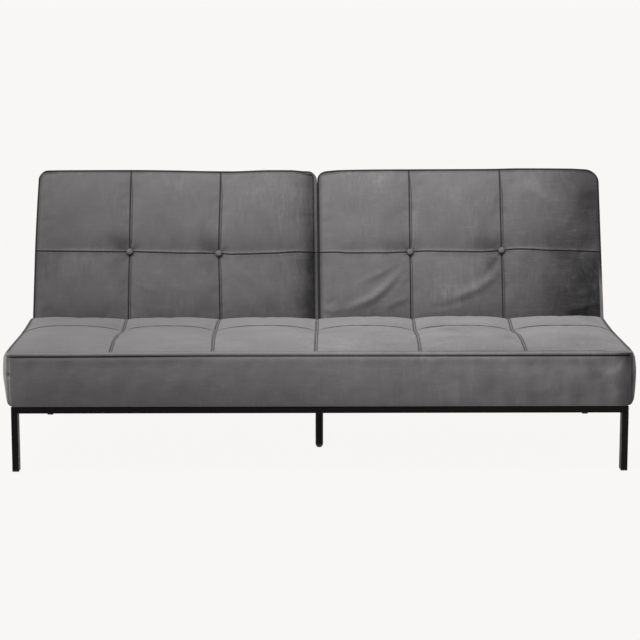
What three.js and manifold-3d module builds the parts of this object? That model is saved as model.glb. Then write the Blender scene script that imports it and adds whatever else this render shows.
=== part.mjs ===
// A click-clack sofa bed: a velvet seat on a black tube base, and two backs that each fold flat.
// Millimetres. +X is the viewer's right, the seat faces -Y, +Z is up, and the feet stand on z = 0.
import * as THREE from "three";
import { mergeVertices } from "three/addons/utils/BufferGeometryUtils.js";
import Module from "manifold-3d";

const wasm = await Module();
wasm.setup();

const degree = Math.PI / 180;

// Clearances and construction allowances
const touch = 0.3; // pieces that bear on each other
const slack = 0.7; // a tooth in its notch
const runGap = 3; // moving upholstery past fixed upholstery
const overrun = 20; // how far a cutter runs past what it cuts

// Base frame
const base = {
  endInset: 9, // from the seat's piping in to the outer faces of the end legs
  tubeWide: 40, // across a rail, and along a leg's deep side
  tubeHigh: 20, // a rail's height, and a leg's narrow side
  wall: 1.5,
  railTop: 204,
  frontFace: 15, // from the front piping back to the front legs
  rearFace: 918, // from the front piping back to the rear legs' rear side
};
const foot = { pad: 4, plug: 20, plugGap: 0.5 };
const centreLeg = { radius: 12.5, wall: 1.5, fromFront: 359, plate: 60, plateThick: 4, sides: 20 };
const domeFoot = { high: 12, groundRadius: 8, centreShare: 0.9, curveFrom: -48, curveSteps: 4 };

// Seat
const seat = {
  halfWidth: 965, // at the piping
  plane: 376.5, // height of the piping
  depth: 600, // from the front piping to the line where the seat meets the backs
  sideBulge: 25,
  frontBulge: 10,
  skirt: 20, // padding over the outside of the boards
  underside: 206.6,
  board: 18,
  boardTop: 306,
  crown: 21, // a panel's middle above its own seams, beside the cross seam
  seamRise: 20.5, // a lengthwise seam above the piping, where it lies highest
};
// Places of the sewn seams, as shares of the half width and of the cushion's depth.
const seatSeamShares = [-0.671, -0.346, -0.015, 0.318, 0.655];
const seatCrossSeamShare = 0.656;
// Along the depth: place, then the seams' height, the panels' crown and the side bulge as shares of their
// full size. The seams dip where the cross seam draws them down.
const seatRiseShares = [
  [0, 0, 0, 0.12],
  [0.034, 0.2, 0.07, 0.2],
  [0.102, 0.54, 0.24, 0.66],
  [0.221, 0.95, 0.29, 1],
  [0.324, 1, 0.43, 1],
  [0.494, 0.61, 0.81, 1],
  [seatCrossSeamShare, 0.22, 1, 1],
  [0.766, 0.59, 0.71, 1],
  [0.86, 0.85, 0.31, 0.96],
  [0.945, 0.73, 0.12, 0.88],
  [1, 0.2, 0.1, 0.8],
];
const cornerBulgeShare = 0.3; // the front bulge left at the front corners
const pillowPower = 2.4; // how full a panel is between its seams
// Up a padded side, from the bottom edge to the piping: height share and bulge share.
const sideBulgeShares = [
  [0, 0],
  [0.16, 0.62],
  [0.5, 1],
  [0.84, 0.82],
  [1, 0],
];
const dustCover = { thick: 2, inset: 1 };
const seatSpring = { count: 4, wire: 4, sway: 26, halfWave: 46, sides: 5, stepsPerWave: 4 };

// Backs
const back = {
  halfWidth: 961,
  splitGap: 3,
  lean: 22 * degree, // sitting position, from upright
  length: 528, // up the front face from the seat
  thick: 150,
  crossSeam: 240, // up the front face from the seat
  cornerRadius: 42,
  skirt: 18,
  crown: 20,
  valley: 3,
  sideBulge: 4,
  board: 18,
  coverThick: 3,
};
// Places of the two upright seams in each back, as shares of its width from its outer end.
const leftSeamShares = [0.335, 0.652];
const rightSeamShares = [0.354, 0.677];
const buttonRiseShare = 0.62; // the panels' crown beside a button
const backRiseShares = [0, 0.62, 0.9, 1, 0.88, buttonRiseShare];
// In from a back's ends, at its rounded corners: share of the corner's radius, and how far off the crown.
const cornerLineShares = [
  [0, 1],
  [0.33, 0.9],
  [1, 0.72],
];
const cornerPower = 4; // how late the corners' rounding starts up a back
const noseTurns = [22.5, 67.5]; // degrees round a back's lower front edge, from its underside
const backSpring = { count: 2, wire: 4, sway: 24, halfWave: 46, sides: 5, stepsPerWave: 4 };
const button = {
  radius: 11.5,
  rim: 4,
  dome: 4,
  shoulderShare: 0.7,
  shank: 3,
  shankLong: 12,
  pocketGap: 0.8,
  sunk: 10,
  sides: 16,
};

// Hinge: the axis lies on the bisector of the seat's face and the back's face, so that the two lie level
// when the back is flat.
const hinge = {
  drop: 30, // below the seat's face, and behind the back's face
  tip: 9, // degrees forward, which frees the ratchet
  recline: 68, // degrees back, which lays the back flat
  lounge: 34,
};
const fitting = {
  plate: 4,
  hub: 14,
  pivot: 5,
  boltHead: 8.5,
  boltHeadHigh: 4.5,
  boltEnd: 6.5,
  notch: 32, // width of the opening in the back's lower corners
  notchTop: 17, // above the axis
  earInset: 13, // from the back's end to the seat plate's outer side
  flangeWide: 40,
  flangeTop: 50, // below the axis
  flangeBottom: 94,
  flangeRib: 22, // below the axis, where the ear passes under the seat's rear edge
  strapFront: 7,
  strapRear: 21,
  strapLong: 150,
  sides: 20,
};
const ratchet = {
  radius: 26,
  root: 20.8,
  rootHalf: 2.4,
  mouthHalf: 5.6,
  from: -155, // degrees round the axis in the back's own frame
  to: -28,
};
const pawl = {
  meets: -135, // degrees round the axis, seen along +X
  tip: 21.5,
  tipHalf: 1.5,
  toothBase: 28,
  toothHalf: 4.5,
  outside: 35.5,
  pivotRadius: 32.5,
  pivotAlong: 29.7,
  boss: 8,
  stud: 4,
  studGap: 0.35,
  throwAngle: 12, // degrees between thrown out and engaged
};
const leaf = { thick: 1, low: 86, bend: 56, tipLow: 37, tipAhead: 35.6 };

// Places that follow from the sizes above. y here starts at the front piping.
const baseHalfWidth = seat.halfWidth - base.endInset;
const seatBoardOut = seat.halfWidth - seat.skirt;
const axisY = seat.depth + (hinge.drop * (1 - Math.sin(back.lean))) / Math.cos(back.lean);
const axisZ = seat.plane - hinge.drop;
const backFoot = axisY - seat.depth; // the seat line above the axis, in the back's frame
const backTop = backFoot + back.length;
const backRear = back.thick - hinge.drop;
const seatRear = axisY - hinge.drop - runGap;
const rearFlapFoot = axisZ - fitting.flangeRib + runGap;
const rearBoardFace = axisY - hinge.drop - fitting.notch / 2;
const boardFoot = base.railTop + touch + dustCover.thick + touch;
const springLine = seat.boardTop + touch + seatSpring.wire / 2;
const seatCeiling = springLine + seatSpring.wire / 2 + touch;
const rearMost = axisY + backRear * Math.cos(back.lean) + backTop * Math.sin(back.lean);
const centreShift = -(rearMost - seat.frontBulge) / 2;

const finish = {
  velvet: new THREE.MeshStandardMaterial({ color: 0x6a6a6c, roughness: 0.85, metalness: 0 }),
  lining: new THREE.MeshStandardMaterial({ color: 0x26262a, roughness: 0.95, metalness: 0 }),
  blackTube: new THREE.MeshStandardMaterial({ color: 0x17181a, roughness: 0.5, metalness: 0.3 }),
  footPlastic: new THREE.MeshStandardMaterial({ color: 0x101012, roughness: 0.7, metalness: 0 }),
  board: new THREE.MeshStandardMaterial({ color: 0xb08a5a, roughness: 0.8, metalness: 0 }),
  springSteel: new THREE.MeshStandardMaterial({ color: 0x4a4d50, roughness: 0.4, metalness: 0.9 }),
  zinc: new THREE.MeshStandardMaterial({ color: 0x9a9da0, roughness: 0.35, metalness: 0.9 }),
};

// Geometry helpers
function solidOf(geometry) {
  const bare = geometry.index ? geometry.toNonIndexed() : geometry.clone();
  bare.deleteAttribute("normal");
  bare.deleteAttribute("uv");
  const merged = mergeVertices(bare);
  return new wasm.Manifold(
    new wasm.Mesh({
      numProp: 3,
      vertProperties: merged.attributes.position.array,
      triVerts: new Uint32Array(merged.index.array),
    }),
  );
}

function geometryOf(solid) {
  const { vertProperties, triVerts } = solid.getMesh();
  const geometry = new THREE.BufferGeometry();
  geometry.setAttribute("position", new THREE.BufferAttribute(vertProperties, 3));
  geometry.setIndex(new THREE.BufferAttribute(triVerts, 1));
  return flatShaded(geometry);
}

function flatShaded(geometry) {
  const shaded = geometry.index ? geometry.toNonIndexed() : geometry;
  shaded.computeVertexNormals();
  return shaded;
}

const joined = (...parts) => geometryOf(parts.map(solidOf).reduce((a, b) => a.add(b)));
const cut = (body, ...tools) => geometryOf(tools.map(solidOf).reduce((a, b) => a.subtract(b), solidOf(body)));

// A box between two corners.
function block([x0, y0, z0], [x1, y1, z1]) {
  const box = new THREE.BoxGeometry(x1 - x0, y1 - y0, z1 - z0);
  return box.translate((x0 + x1) / 2, (y0 + y1) / 2, (z0 + z1) / 2);
}

// An outline in the YZ plane, made thick along X from x0 to x1.
function sidePlate(outline, x0, x1) {
  const low = Math.min(x0, x1);
  const depth = Math.abs(x1 - x0);
  const plate = new THREE.ExtrudeGeometry(outline, { depth, bevelEnabled: false });
  const turn = new THREE.Matrix4().makeBasis(
    new THREE.Vector3(0, 1, 0),
    new THREE.Vector3(0, 0, 1),
    new THREE.Vector3(1, 0, 0),
  );
  return plate.applyMatrix4(turn).translate(low, 0, 0);
}

// An outline in the XZ plane, made thick along Y from y0 to y1.
function facePlate(outline, y0, y1) {
  const plate = new THREE.ExtrudeGeometry(outline, { depth: y1 - y0, bevelEnabled: false });
  return plate.rotateX(Math.PI / 2).translate(0, y1, 0);
}

// A round bar along X, from x0 to x1, about (y, z).
function crossRod(radius, x0, x1, y, z, sides) {
  const rod = new THREE.CylinderGeometry(radius, radius, Math.abs(x1 - x0), sides);
  return rod.rotateZ(Math.PI / 2).translate((x0 + x1) / 2, y, z);
}

const polar = (radius, angle) => [radius * Math.cos(angle * degree), radius * Math.sin(angle * degree)];
const outlineOf = (points) => new THREE.Shape(points.map(([a, b]) => new THREE.Vector2(a, b)));

function arcPoints(centre, radius, from, to, steps) {
  return Array.from({ length: steps + 1 }, (_, i) => {
    const [a, b] = polar(radius, from + ((to - from) * i) / steps);
    return [centre[0] + a, centre[1] + b];
  });
}

// A closed block of a grid's cells. place(i, j, k) gives a corner's position, and the last layer of k is
// the crowned face.
function padding(columns, rows, layers, place) {
  const corners = [];
  const at = (i, j, k) => corners.push(...place(i, j, k));
  const quad = (a, b, c, d) => [a, b, c, a, c, d].forEach((corner) => at(...corner));
  for (let i = 0; i < columns; i++)
    for (let j = 0; j < rows; j++) {
      quad([i, j, layers], [i + 1, j, layers], [i + 1, j + 1, layers], [i, j + 1, layers]);
      quad([i, j, 0], [i, j + 1, 0], [i + 1, j + 1, 0], [i + 1, j, 0]);
    }
  for (let i = 0; i < columns; i++)
    for (let k = 0; k < layers; k++) {
      quad([i, 0, k], [i + 1, 0, k], [i + 1, 0, k + 1], [i, 0, k + 1]);
      quad([i, rows, k], [i, rows, k + 1], [i + 1, rows, k + 1], [i + 1, rows, k]);
    }
  for (let j = 0; j < rows; j++)
    for (let k = 0; k < layers; k++) {
      quad([0, j, k], [0, j, k + 1], [0, j + 1, k + 1], [0, j + 1, k]);
      quad([columns, j, k], [columns, j + 1, k], [columns, j + 1, k + 1], [columns, j, k + 1]);
    }
  const geometry = new THREE.BufferGeometry();
  geometry.setAttribute("position", new THREE.Float32BufferAttribute(corners, 3));
  return geometry;
}

// Grid lines from edge to edge with the seams on them. off is how far a line lies from its panel's middle,
// from 0 to 1.
function panelLines(edges, cells) {
  const lines = [];
  for (let panel = 0; panel + 1 < edges.length; panel++)
    for (let cell = 0; cell < cells; cell++) {
      const share = cell / cells;
      const place = edges[panel] + (edges[panel + 1] - edges[panel]) * share;
      lines.push({ place, off: Math.abs(2 * share - 1) });
    }
  lines.push({ place: edges[edges.length - 1], off: 1 });
  return lines;
}

const pillow = (off) => 1 - off ** pillowPower;

// A flat zigzag wire in the XY plane, along Y.
function sinuousWire({ wire, sway, halfWave, sides, stepsPerWave }, long) {
  const waves = Math.round(long / halfWave);
  const steps = waves * stepsPerWave;
  const points = Array.from({ length: steps + 1 }, (_, i) => {
    const along = i / steps;
    return new THREE.Vector3(sway * Math.sin(Math.PI * waves * along), long * along, 0);
  });
  const section = outlineOf(arcPoints([0, 0], wire / 2, 0, 360, sides).slice(0, -1));
  const path = new THREE.CatmullRomCurve3(points);
  return new THREE.ExtrudeGeometry(section, { steps, extrudePath: path });
}

const sofa = new THREE.Group();
sofa.position.y = centreShift;

function add(parent, name, geometry, material) {
  const mesh = new THREE.Mesh(geometry, material);
  mesh.name = name;
  parent.add(mesh);
}

// Base

// A flat rectangular tube along X with its long outer side at y = 0, its ends mitred at 45 degrees.
function mitredRail(halfLong) {
  const { tubeWide, tubeHigh, wall } = base;
  const section = outlineOf([
    [0, 0],
    [tubeWide, 0],
    [tubeWide, tubeHigh],
    [0, tubeHigh],
  ]);
  section.holes.push(
    outlineOf([
      [wall, wall],
      [wall, tubeHigh - wall],
      [tubeWide - wall, tubeHigh - wall],
      [tubeWide - wall, wall],
    ]),
  );
  const rail = sidePlate(section, -halfLong, halfLong);
  const corners = rail.attributes.position;
  for (let i = 0; i < corners.count; i++)
    corners.setX(i, corners.getX(i) - Math.sign(corners.getX(i)) * corners.getY(i));
  return flatShaded(rail.translate(0, 0, base.railTop - tubeHigh));
}

function addBase() {
  const { tubeWide, tubeHigh, wall, railTop, frontFace, rearFace } = base;
  const halfWidth = baseHalfWidth;
  const railFoot = railTop - tubeHigh;
  const halfDeep = (rearFace - frontFace) / 2;
  const middle = (rearFace + frontFace) / 2;
  const mitreGap = touch * Math.SQRT1_2;
  const front = mitredRail(halfWidth - mitreGap).translate(0, frontFace, 0);
  const rear = mitredRail(halfWidth - mitreGap)
    .rotateZ(Math.PI)
    .translate(0, rearFace, 0);
  const side = (turn, x) =>
    mitredRail(halfDeep - mitreGap)
      .rotateZ(turn)
      .translate(x, middle, 0);
  add(sofa, "front_rail", front, finish.blackTube);
  add(sofa, "rear_rail", rear, finish.blackTube);
  add(sofa, "left_side_rail", side(-Math.PI / 2, -halfWidth), finish.blackTube);
  add(sofa, "right_side_rail", side(Math.PI / 2, halfWidth), finish.blackTube);

  const tubeBetween = (low, high, holeLow, holeHigh) => cut(block(low, high), block(holeLow, holeHigh));
  const crossHalf = tubeWide / 2;
  const crossFrom = frontFace + tubeWide + touch;
  const crossTo = rearFace - tubeWide - touch;
  const crossRail = tubeBetween(
    [-crossHalf, crossFrom, railFoot],
    [crossHalf, crossTo, railTop],
    [wall - crossHalf, crossFrom - overrun, railFoot + wall],
    [crossHalf - wall, crossTo + overrun, railTop - wall],
  );
  add(sofa, "centre_cross_rail", crossRail, finish.blackTube);

  for (const [end, face] of [
    ["front", frontFace],
    ["rear", rearFace - tubeWide],
  ])
    for (const [hand, x] of [
      ["left", -halfWidth],
      ["right", halfWidth - tubeHigh],
    ]) {
      const leg = tubeBetween(
        [x, face, foot.pad],
        [x + tubeHigh, face + tubeWide, railFoot],
        [x + wall, face + wall, foot.pad - overrun],
        [x + tubeHigh - wall, face + tubeWide - wall, railFoot - wall],
      );
      add(sofa, `${end}_${hand}_leg`, leg, finish.blackTube);
      const inset = wall + foot.plugGap;
      const cap = joined(
        block([x, face, 0], [x + tubeHigh, face + tubeWide, foot.pad]),
        block(
          [x + inset, face + inset, 0],
          [x + tubeHigh - inset, face + tubeWide - inset, foot.pad + foot.plug],
        ),
      );
      add(sofa, `${end}_${hand}_foot`, cap, finish.footPlastic);
    }
  addCentreLeg(railFoot);
}

function addCentreLeg(railFoot) {
  const { radius, wall, fromFront, plate, plateThick, sides } = centreLeg;
  const plateFoot = railFoot - plateThick;
  const tube = new THREE.LatheGeometry(
    [
      [0, plateFoot],
      [radius, plateFoot],
      [radius, domeFoot.high],
      [radius - wall, domeFoot.high],
      [radius - wall, plateFoot - wall],
      [0, plateFoot - wall],
      [0, plateFoot],
    ].map(([r, z]) => new THREE.Vector2(r, z)),
    sides,
  ).rotateX(Math.PI / 2);
  const flange = block([-plate / 2, -plate / 2, plateFoot - wall / 2], [plate / 2, plate / 2, railFoot]);
  const leg = joined(orient(tube), flange).translate(0, fromFront, 0);
  add(sofa, "centre_leg", leg, finish.blackTube);

  const plugRadius = radius - wall - foot.plugGap;
  const { high, groundRadius, centreShare, curveFrom, curveSteps } = domeFoot;
  const profile = [
    [0, 0],
    [groundRadius, 0],
    ...arcPoints([0, high * centreShare], radius, curveFrom, 0, curveSteps),
    [radius, high],
    [plugRadius, high],
    [plugRadius, high + foot.plug],
    [0, high + foot.plug],
  ];
  const cap = new THREE.LatheGeometry(
    profile.map(([r, z]) => new THREE.Vector2(r, z)),
    sides,
  ).rotateX(Math.PI / 2);
  add(sofa, "centre_foot", orient(cap).translate(0, fromFront, 0), finish.footPlastic);
}

// A closed surface with its faces turned outwards.
function orient(geometry) {
  const merged = mergeVertices(bareCopy(geometry), 1e-4);
  const solid = solidOf(merged);
  if (solid.volume() > 0) return geometryOf(solid);
  const index = merged.index.array;
  for (let i = 0; i < index.length; i += 3) [index[i + 1], index[i + 2]] = [index[i + 2], index[i + 1]];
  return geometryOf(solidOf(merged));
}

function bareCopy(geometry) {
  const bare = geometry.index ? geometry.toNonIndexed() : geometry.clone();
  bare.deleteAttribute("normal");
  bare.deleteAttribute("uv");
  return bare;
}

// Seat

function addSeat() {
  const { board, boardTop, skirt } = seat;
  const frontBoard = skirt;
  const outside = seatBoardOut - touch;
  const rearFace = rearBoardFace;
  const inner = outside - board;
  const longBoard = (y0) => block([-outside, y0, boardFoot], [outside, y0 + board, boardTop]);
  const endBoard = (x0) =>
    block([x0, frontBoard + board + touch, boardFoot], [x0 + board, rearFace - board - touch, boardTop]);
  add(sofa, "seat_front_board", longBoard(frontBoard), finish.board);
  add(sofa, "seat_rear_board", longBoard(rearFace - board), finish.board);
  add(sofa, "seat_left_board", endBoard(-outside), finish.board);
  add(sofa, "seat_right_board", endBoard(inner), finish.board);

  const coverIn = dustCover.inset;
  const cover = block(
    [coverIn - outside, frontBoard + coverIn, base.railTop + touch],
    [outside - coverIn, rearFace - coverIn, boardFoot - touch],
  );
  add(sofa, "seat_dust_cover", cover, finish.lining);

  const springFrom = frontBoard + board / 2;
  const springLong = rearFace - board / 2 - springFrom;
  const pitch = (2 * inner) / seatSpring.count;
  for (let i = 0; i < seatSpring.count; i++) {
    const wire = sinuousWire(seatSpring, springLong);
    wire.translate(pitch * i + pitch / 2 - inner, springFrom, springLine);
    add(sofa, `seat_spring_${i + 1}`, wire, finish.springSteel);
  }
  add(sofa, "seat_cushion", seatCushion(), finish.velvet);
}

function seatCushion() {
  const { halfWidth, plane, underside, sideBulge, frontBulge, crown, seamRise } = seat;
  const edges = [-halfWidth, ...seatSeamShares.map((share) => share * halfWidth), halfWidth];
  const across = panelLines(edges, 6);
  const leftMiddle = (edges[0] + edges[1]) / 2;
  const rightMiddle = (edges[edges.length - 2] + edges[edges.length - 1]) / 2;
  const layers = sideBulgeShares.length - 1;
  const rows = seatRiseShares.length - 1;
  const place = (i, j, k) => {
    const { place: x, off } = across[i];
    const [depthShare, seamShare, crownShare, sideShare] = seatRiseShares[j];
    const [heightShare, bulgeShare] = sideBulgeShares[k];
    const end = i === 0 || i === across.length - 1;
    const outerHalf = x < leftMiddle || x > rightMiddle;
    const seamHeight = seamRise * seamShare * (outerHalf ? pillow(off) : 1);
    const rise = seamHeight + crown * crownShare * pillow(off);
    const outward = end ? Math.sign(x) * sideBulge * bulgeShare * sideShare : 0;
    const forward = j === 0 ? frontBulge * bulgeShare * (end ? cornerBulgeShare : 1) : 0;
    const top = k === layers ? plane + rise : underside + (plane - underside) * heightShare;
    return [x + outward, seatRear * depthShare - forward, top];
  };
  const outer = padding(across.length - 1, rows, layers, place);
  const inside = seatBoardOut;
  const well = block(
    [-inside, seat.skirt - touch, underside - overrun],
    [inside, seatRear + overrun, seatCeiling],
  );
  const rearStep = block(
    [-halfWidth - sideBulge - overrun, rearBoardFace + touch, underside - overrun],
    [halfWidth + sideBulge + overrun, seatRear + overrun, rearFlapFoot],
  );
  return cut(outer, well, rearStep);
}

// Backs: each is built upright, with its hinge axis on X and its front face at y = -hinge.drop.

function backGroup() {
  const group = new THREE.Group();
  group.position.set(0, axisY, axisZ);
  group.rotation.x = -back.lean;
  sofa.add(group);
  return group;
}

function backOutline(outer, inner, inset) {
  const low = -hinge.drop;
  const left = Math.min(outer, inner) + inset;
  const right = Math.max(outer, inner) - inset;
  const r = back.cornerRadius;
  const top = backTop - inset;
  const step = fitting.notch;
  return outlineOf([
    [left + step, low],
    [right - step, low],
    [right - step, fitting.notchTop],
    [right, fitting.notchTop],
    ...arcPoints([right - r, top - r], r, 0, 90, 5),
    ...arcPoints([left + r, top - r], r, 90, 180, 5),
    [left, fitting.notchTop],
    [left + step, fitting.notchTop],
  ]);
}

function addBack(hand, side, seamShares) {
  const group = backGroup();
  const outer = side * back.halfWidth;
  const inner = (side * back.splitGap) / 2;
  const width = outer - inner;
  const seams = seamShares.map((share) => outer - width * share);
  const name = (piece) => `${hand}_back_${piece}`;

  const padFront = back.skirt - hinge.drop;
  const frameFront = padFront + touch + backSpring.wire + touch;
  const coverFront = backRear - back.coverThick;
  const frameRear = coverFront - 2 * touch;
  const frameEnd = back.skirt + touch + fitting.plate + 2 * touch;
  const frameOuter = outer - side * frameEnd;
  const frameInner = inner + side * frameEnd;
  const [frameLeft, frameRight] = [frameOuter, frameInner].sort((a, b) => a - b);
  const frameLow = fitting.notchTop + runGap + touch;
  const frameTop = backTop - back.skirt - touch;

  const ring = outlineOf([
    [frameLeft, frameLow],
    [frameRight, frameLow],
    [frameRight, frameTop],
    [frameLeft, frameTop],
  ]);
  ring.holes.push(
    outlineOf([
      [frameLeft + back.board, frameLow + back.board],
      [frameLeft + back.board, frameTop - back.board],
      [frameRight - back.board, frameTop - back.board],
      [frameRight - back.board, frameLow + back.board],
    ]),
  );
  add(group, name("frame"), facePlate(ring, frameFront, frameRear), finish.board);

  const springLow = frameLow + back.board / 2;
  const springLong = frameTop - back.board / 2 - springLow;
  seams.forEach((x, i) => {
    const wire = sinuousWire(backSpring, springLong).rotateX(Math.PI / 2);
    wire.translate(x, padFront + touch + backSpring.wire / 2, springLow);
    add(group, name(`spring_${i + 1}`), wire, finish.springSteel);
  });

  const cover = facePlate(backOutline(outer, inner, 0), coverFront, backRear);
  add(group, name("rear_cover"), cover, finish.velvet);

  const rearRim = coverFront - touch;
  const { cushion, buttonFace } = backCushion(outer, inner, seams, padFront, rearRim, frameLow);
  add(group, name("cushion"), cushion, finish.velvet);
  const seamHeight = backFoot + back.crossSeam;
  seams.forEach((x, i) => {
    const disc = buttonShape(0).translate(x, buttonFace, seamHeight);
    add(group, name(`button_${i + 1}`), disc, finish.velvet);
  });
  return group;
}

function backCushion(outer, inner, seams, padFront, rearRim, wellLow) {
  const { cornerRadius, crown, valley, crossSeam, sideBulge } = back;
  const [left, right] = [outer, inner].sort((a, b) => a - b);
  const sorted = [...seams].sort((a, b) => a - b);
  const cornerLines = cornerLineShares.map(([share, off]) => ({ inset: cornerRadius * share, off }));
  const columns = [
    ...cornerLines.map(({ inset, off }) => ({ place: left + inset, off })),
    ...panelLines([left, ...sorted, right], 6).filter(
      ({ place }) => place > left + cornerRadius + overrun && place < right - cornerRadius - overrun,
    ),
    ...[...cornerLines].reverse().map(({ inset, off }) => ({ place: right - inset, off })),
  ];
  const drop = hinge.drop;
  const lowPanel = backFoot + crossSeam;
  const spread = (from, to, shares) =>
    shares.map((share, i) => [from + ((to - from) * i) / shares.length, share, 0]);
  const rows = [
    [-drop, 0, drop],
    ...noseTurns.map((turn) => polar(drop, -90 - turn)).map(([y, z]) => [z, 0, drop + y]),
    ...spread(0, lowPanel, backRiseShares),
    ...spread(lowPanel, backTop, [...backRiseShares].reverse()),
    [backTop, 0, 0],
  ];
  const layerShares = [
    [1, 0.4],
    [0.5, 1],
    [0, 0],
  ];
  const cornerDrop = (x) => {
    const near = Math.min(x - left, right - x);
    if (near >= cornerRadius) return 0;
    return cornerRadius - Math.sqrt(cornerRadius ** 2 - (cornerRadius - near) ** 2);
  };
  const place = (i, j, k) => {
    const { place: x, off } = columns[i];
    const [z, riseShare, back0] = rows[j];
    const [depthShare, bulgeShare] = layerShares[k];
    const end = i === 0 || i === columns.length - 1;
    const upShare = z > lowPanel ? (z - lowPanel) / (backTop - lowPanel) : 0;
    const topBulge = j === rows.length - 1 ? sideBulge * bulgeShare : 0;
    const height = z - cornerDrop(x) * upShare ** cornerPower + topBulge;
    const rise = end || riseShare === 0 ? 0 : valley + crown * riseShare * pillow(off);
    const front = back0 - drop;
    const y = k === layerShares.length - 1 ? front - rise : front + (rearRim - front) * depthShare;
    return [x, y, height];
  };
  // the grid runs rear to front, so that its last layer is the crowned face
  const body = padding(columns.length - 1, rows.length - 1, layerShares.length - 1, place);
  const padBack = rearRim + overrun;
  const wellLeft = left + back.skirt;
  const wellRight = right - back.skirt;
  const wellTop = backTop - back.skirt;
  const well = block([wellLeft, padFront, wellLow - touch], [wellRight, padBack, wellTop]);
  const step = fitting.notch;
  const corner = (x0, x1) =>
    block([x0, -2 * drop, -drop - overrun], [x1, padBack, fitting.notchTop]);
  const slot = (x0, x1) => block([x0, padFront, 0], [x1, padBack, wellLow]);
  const buttonFace = -drop - valley - crown * buttonRiseShare + button.sunk;
  const pockets = seams.map((x) => buttonShape(button.pocketGap).translate(x, buttonFace, lowPanel));
  const cushion = cut(
    orient(body),
    well,
    corner(left - overrun, left + step),
    corner(right - step, right + overrun),
    slot(wellLeft, left + step),
    slot(right - step, wellRight),
    ...pockets,
  );
  return { cushion, buttonFace };
}

// A covered button, facing -Y, its back face at y = 0. room makes it larger all round, to cut its pocket.
function buttonShape(room) {
  const { radius, rim, dome, shoulderShare, shank, shankLong, sides } = button;
  const out = radius + room;
  const reach = room > 0 ? overrun * 2 : 0;
  const profile = [
    [0, -shankLong - room],
    [shank + room / 2, -shankLong - room],
    [shank + room / 2, -room / 2],
    [out, -room / 2],
    [out, rim + reach],
    [out * shoulderShare, rim + dome * shoulderShare + reach],
    [0, rim + dome + reach],
  ];
  const disc = new THREE.LatheGeometry(
    profile.map(([r, z]) => new THREE.Vector2(r, z)),
    sides,
  );
  return orient(disc.rotateX(Math.PI));
}

// Hinge fittings: one at each end of each back. endX is the back's end, and inward points along X to its
// middle.

// The bracket: a flange screwed to the rear board, and an ear that carries the pivot bolt and the pawl's
// stud.
function seatPlate(endX, inward) {
  const { plate, hub, pivot, earInset, flangeWide, flangeTop, flangeBottom, flangeRib, sides } = fitting;
  const boardFace = rearBoardFace + touch;
  const earFront = boardFace - axisY;
  const [studY, studZ] = pawlPivot();
  const outline = outlineOf([
    [earFront, -flangeBottom],
    [earFront + plate, -flangeBottom],
    ...arcPoints([studY, studZ], pawl.boss, -60, 20, 4),
    ...arcPoints([0, 0], hub, -20, 200, 10),
    [-hub, -flangeRib],
    [-hub - touch, -flangeTop],
    [earFront, -flangeTop],
  ]);
  const earOut = endX + inward * earInset;
  const earIn = earOut + inward * plate;
  const ear = sidePlate(outline, earOut, earIn);
  const boltHole = crossRod(pivot + touch, earOut - inward * overrun, earIn + inward * overrun, 0, 0, sides);
  const flangeEnds = [earIn - (inward * plate) / 2, earOut + inward * flangeWide];
  const [flangeLeft, flangeRight] = flangeEnds.sort((a, b) => a - b);
  const flange = block([flangeLeft, earFront, -flangeBottom], [flangeRight, earFront + plate, -flangeTop]);
  const studEnd = earIn + inward * 2 * plate;
  const stud = crossRod(pawl.stud, earIn - (inward * plate) / 2, studEnd, studY, studZ, sides);
  return joined(cut(ear, boltHole), flange, stud);
}

// The pawl's pivot, from the hinge axis.
function pawlPivot() {
  const [outY, outZ] = polar(pawl.pivotRadius, pawl.meets);
  const [alongY, alongZ] = polar(pawl.pivotAlong, pawl.meets + 90);
  return [outY + alongY, outZ + alongZ];
}

// The arm screwed to the back's frame, with a toothed quadrant about the hinge axis.
function backArm(x0, x1) {
  const { hub, pivot, strapFront, strapRear, strapLong, sides } = fitting;
  const { radius, root, rootHalf, mouthHalf, from, to } = ratchet;
  const quadrant = outlineOf([[0, 0], ...arcPoints([0, 0], radius, from, to, 14)]);
  const strap = outlineOf([
    ...arcPoints([0, 0], hub, 150, 390, 12),
    [strapRear, hub + strapFront],
    [strapRear, strapLong],
    [-strapFront, strapLong],
    [-strapFront, hub + strapFront],
  ]);
  const arm = joined(sidePlate(quadrant, x0, x1), sidePlate(strap, x0, x1));
  const mouth = radius + slack * 2;
  const notch = outlineOf([
    [root, -rootHalf],
    [mouth, -mouthHalf],
    [mouth, mouthHalf],
    [root, rootHalf],
  ]);
  const low = Math.min(x0, x1) - overrun;
  const high = Math.max(x0, x1) + overrun;
  const notches = [-hinge.tip, 0, hinge.lounge, hinge.recline].map((turned) =>
    sidePlate(notch, low, high).rotateX((pawl.meets + turned) * degree + back.lean),
  );
  return cut(arm, crossRod(pivot + touch, low, high, 0, 0, sides), ...notches);
}

// The pawl, thrown out clear of the quadrant, drawn about its own pivot.
function pawlLever(x0, x1) {
  const { tip, tipHalf, toothBase, toothHalf, outside, pivotRadius, pivotAlong, boss, stud, studGap } = pawl;
  const arc = arcPoints([pivotRadius, pivotAlong], boss, 20, 160, 8);
  const outline = outlineOf([
    [tip, -tipHalf],
    [toothBase, -toothHalf],
    [outside, -toothHalf],
    ...arc,
    [toothBase, toothHalf],
    [tip, tipHalf],
  ]);
  const low = Math.min(x0, x1) - overrun;
  const high = Math.max(x0, x1) + overrun;
  const bore = crossRod(stud + studGap, low, high, pivotRadius, pivotAlong, fitting.sides);
  const lever = cut(sidePlate(outline, x0, x1), bore);
  const [pivotY, pivotZ] = pawlPivot();
  lever.rotateX(pawl.meets * degree).translate(0, -pivotY, -pivotZ);
  return lever.rotateX(pawl.throwAngle * degree);
}

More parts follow.
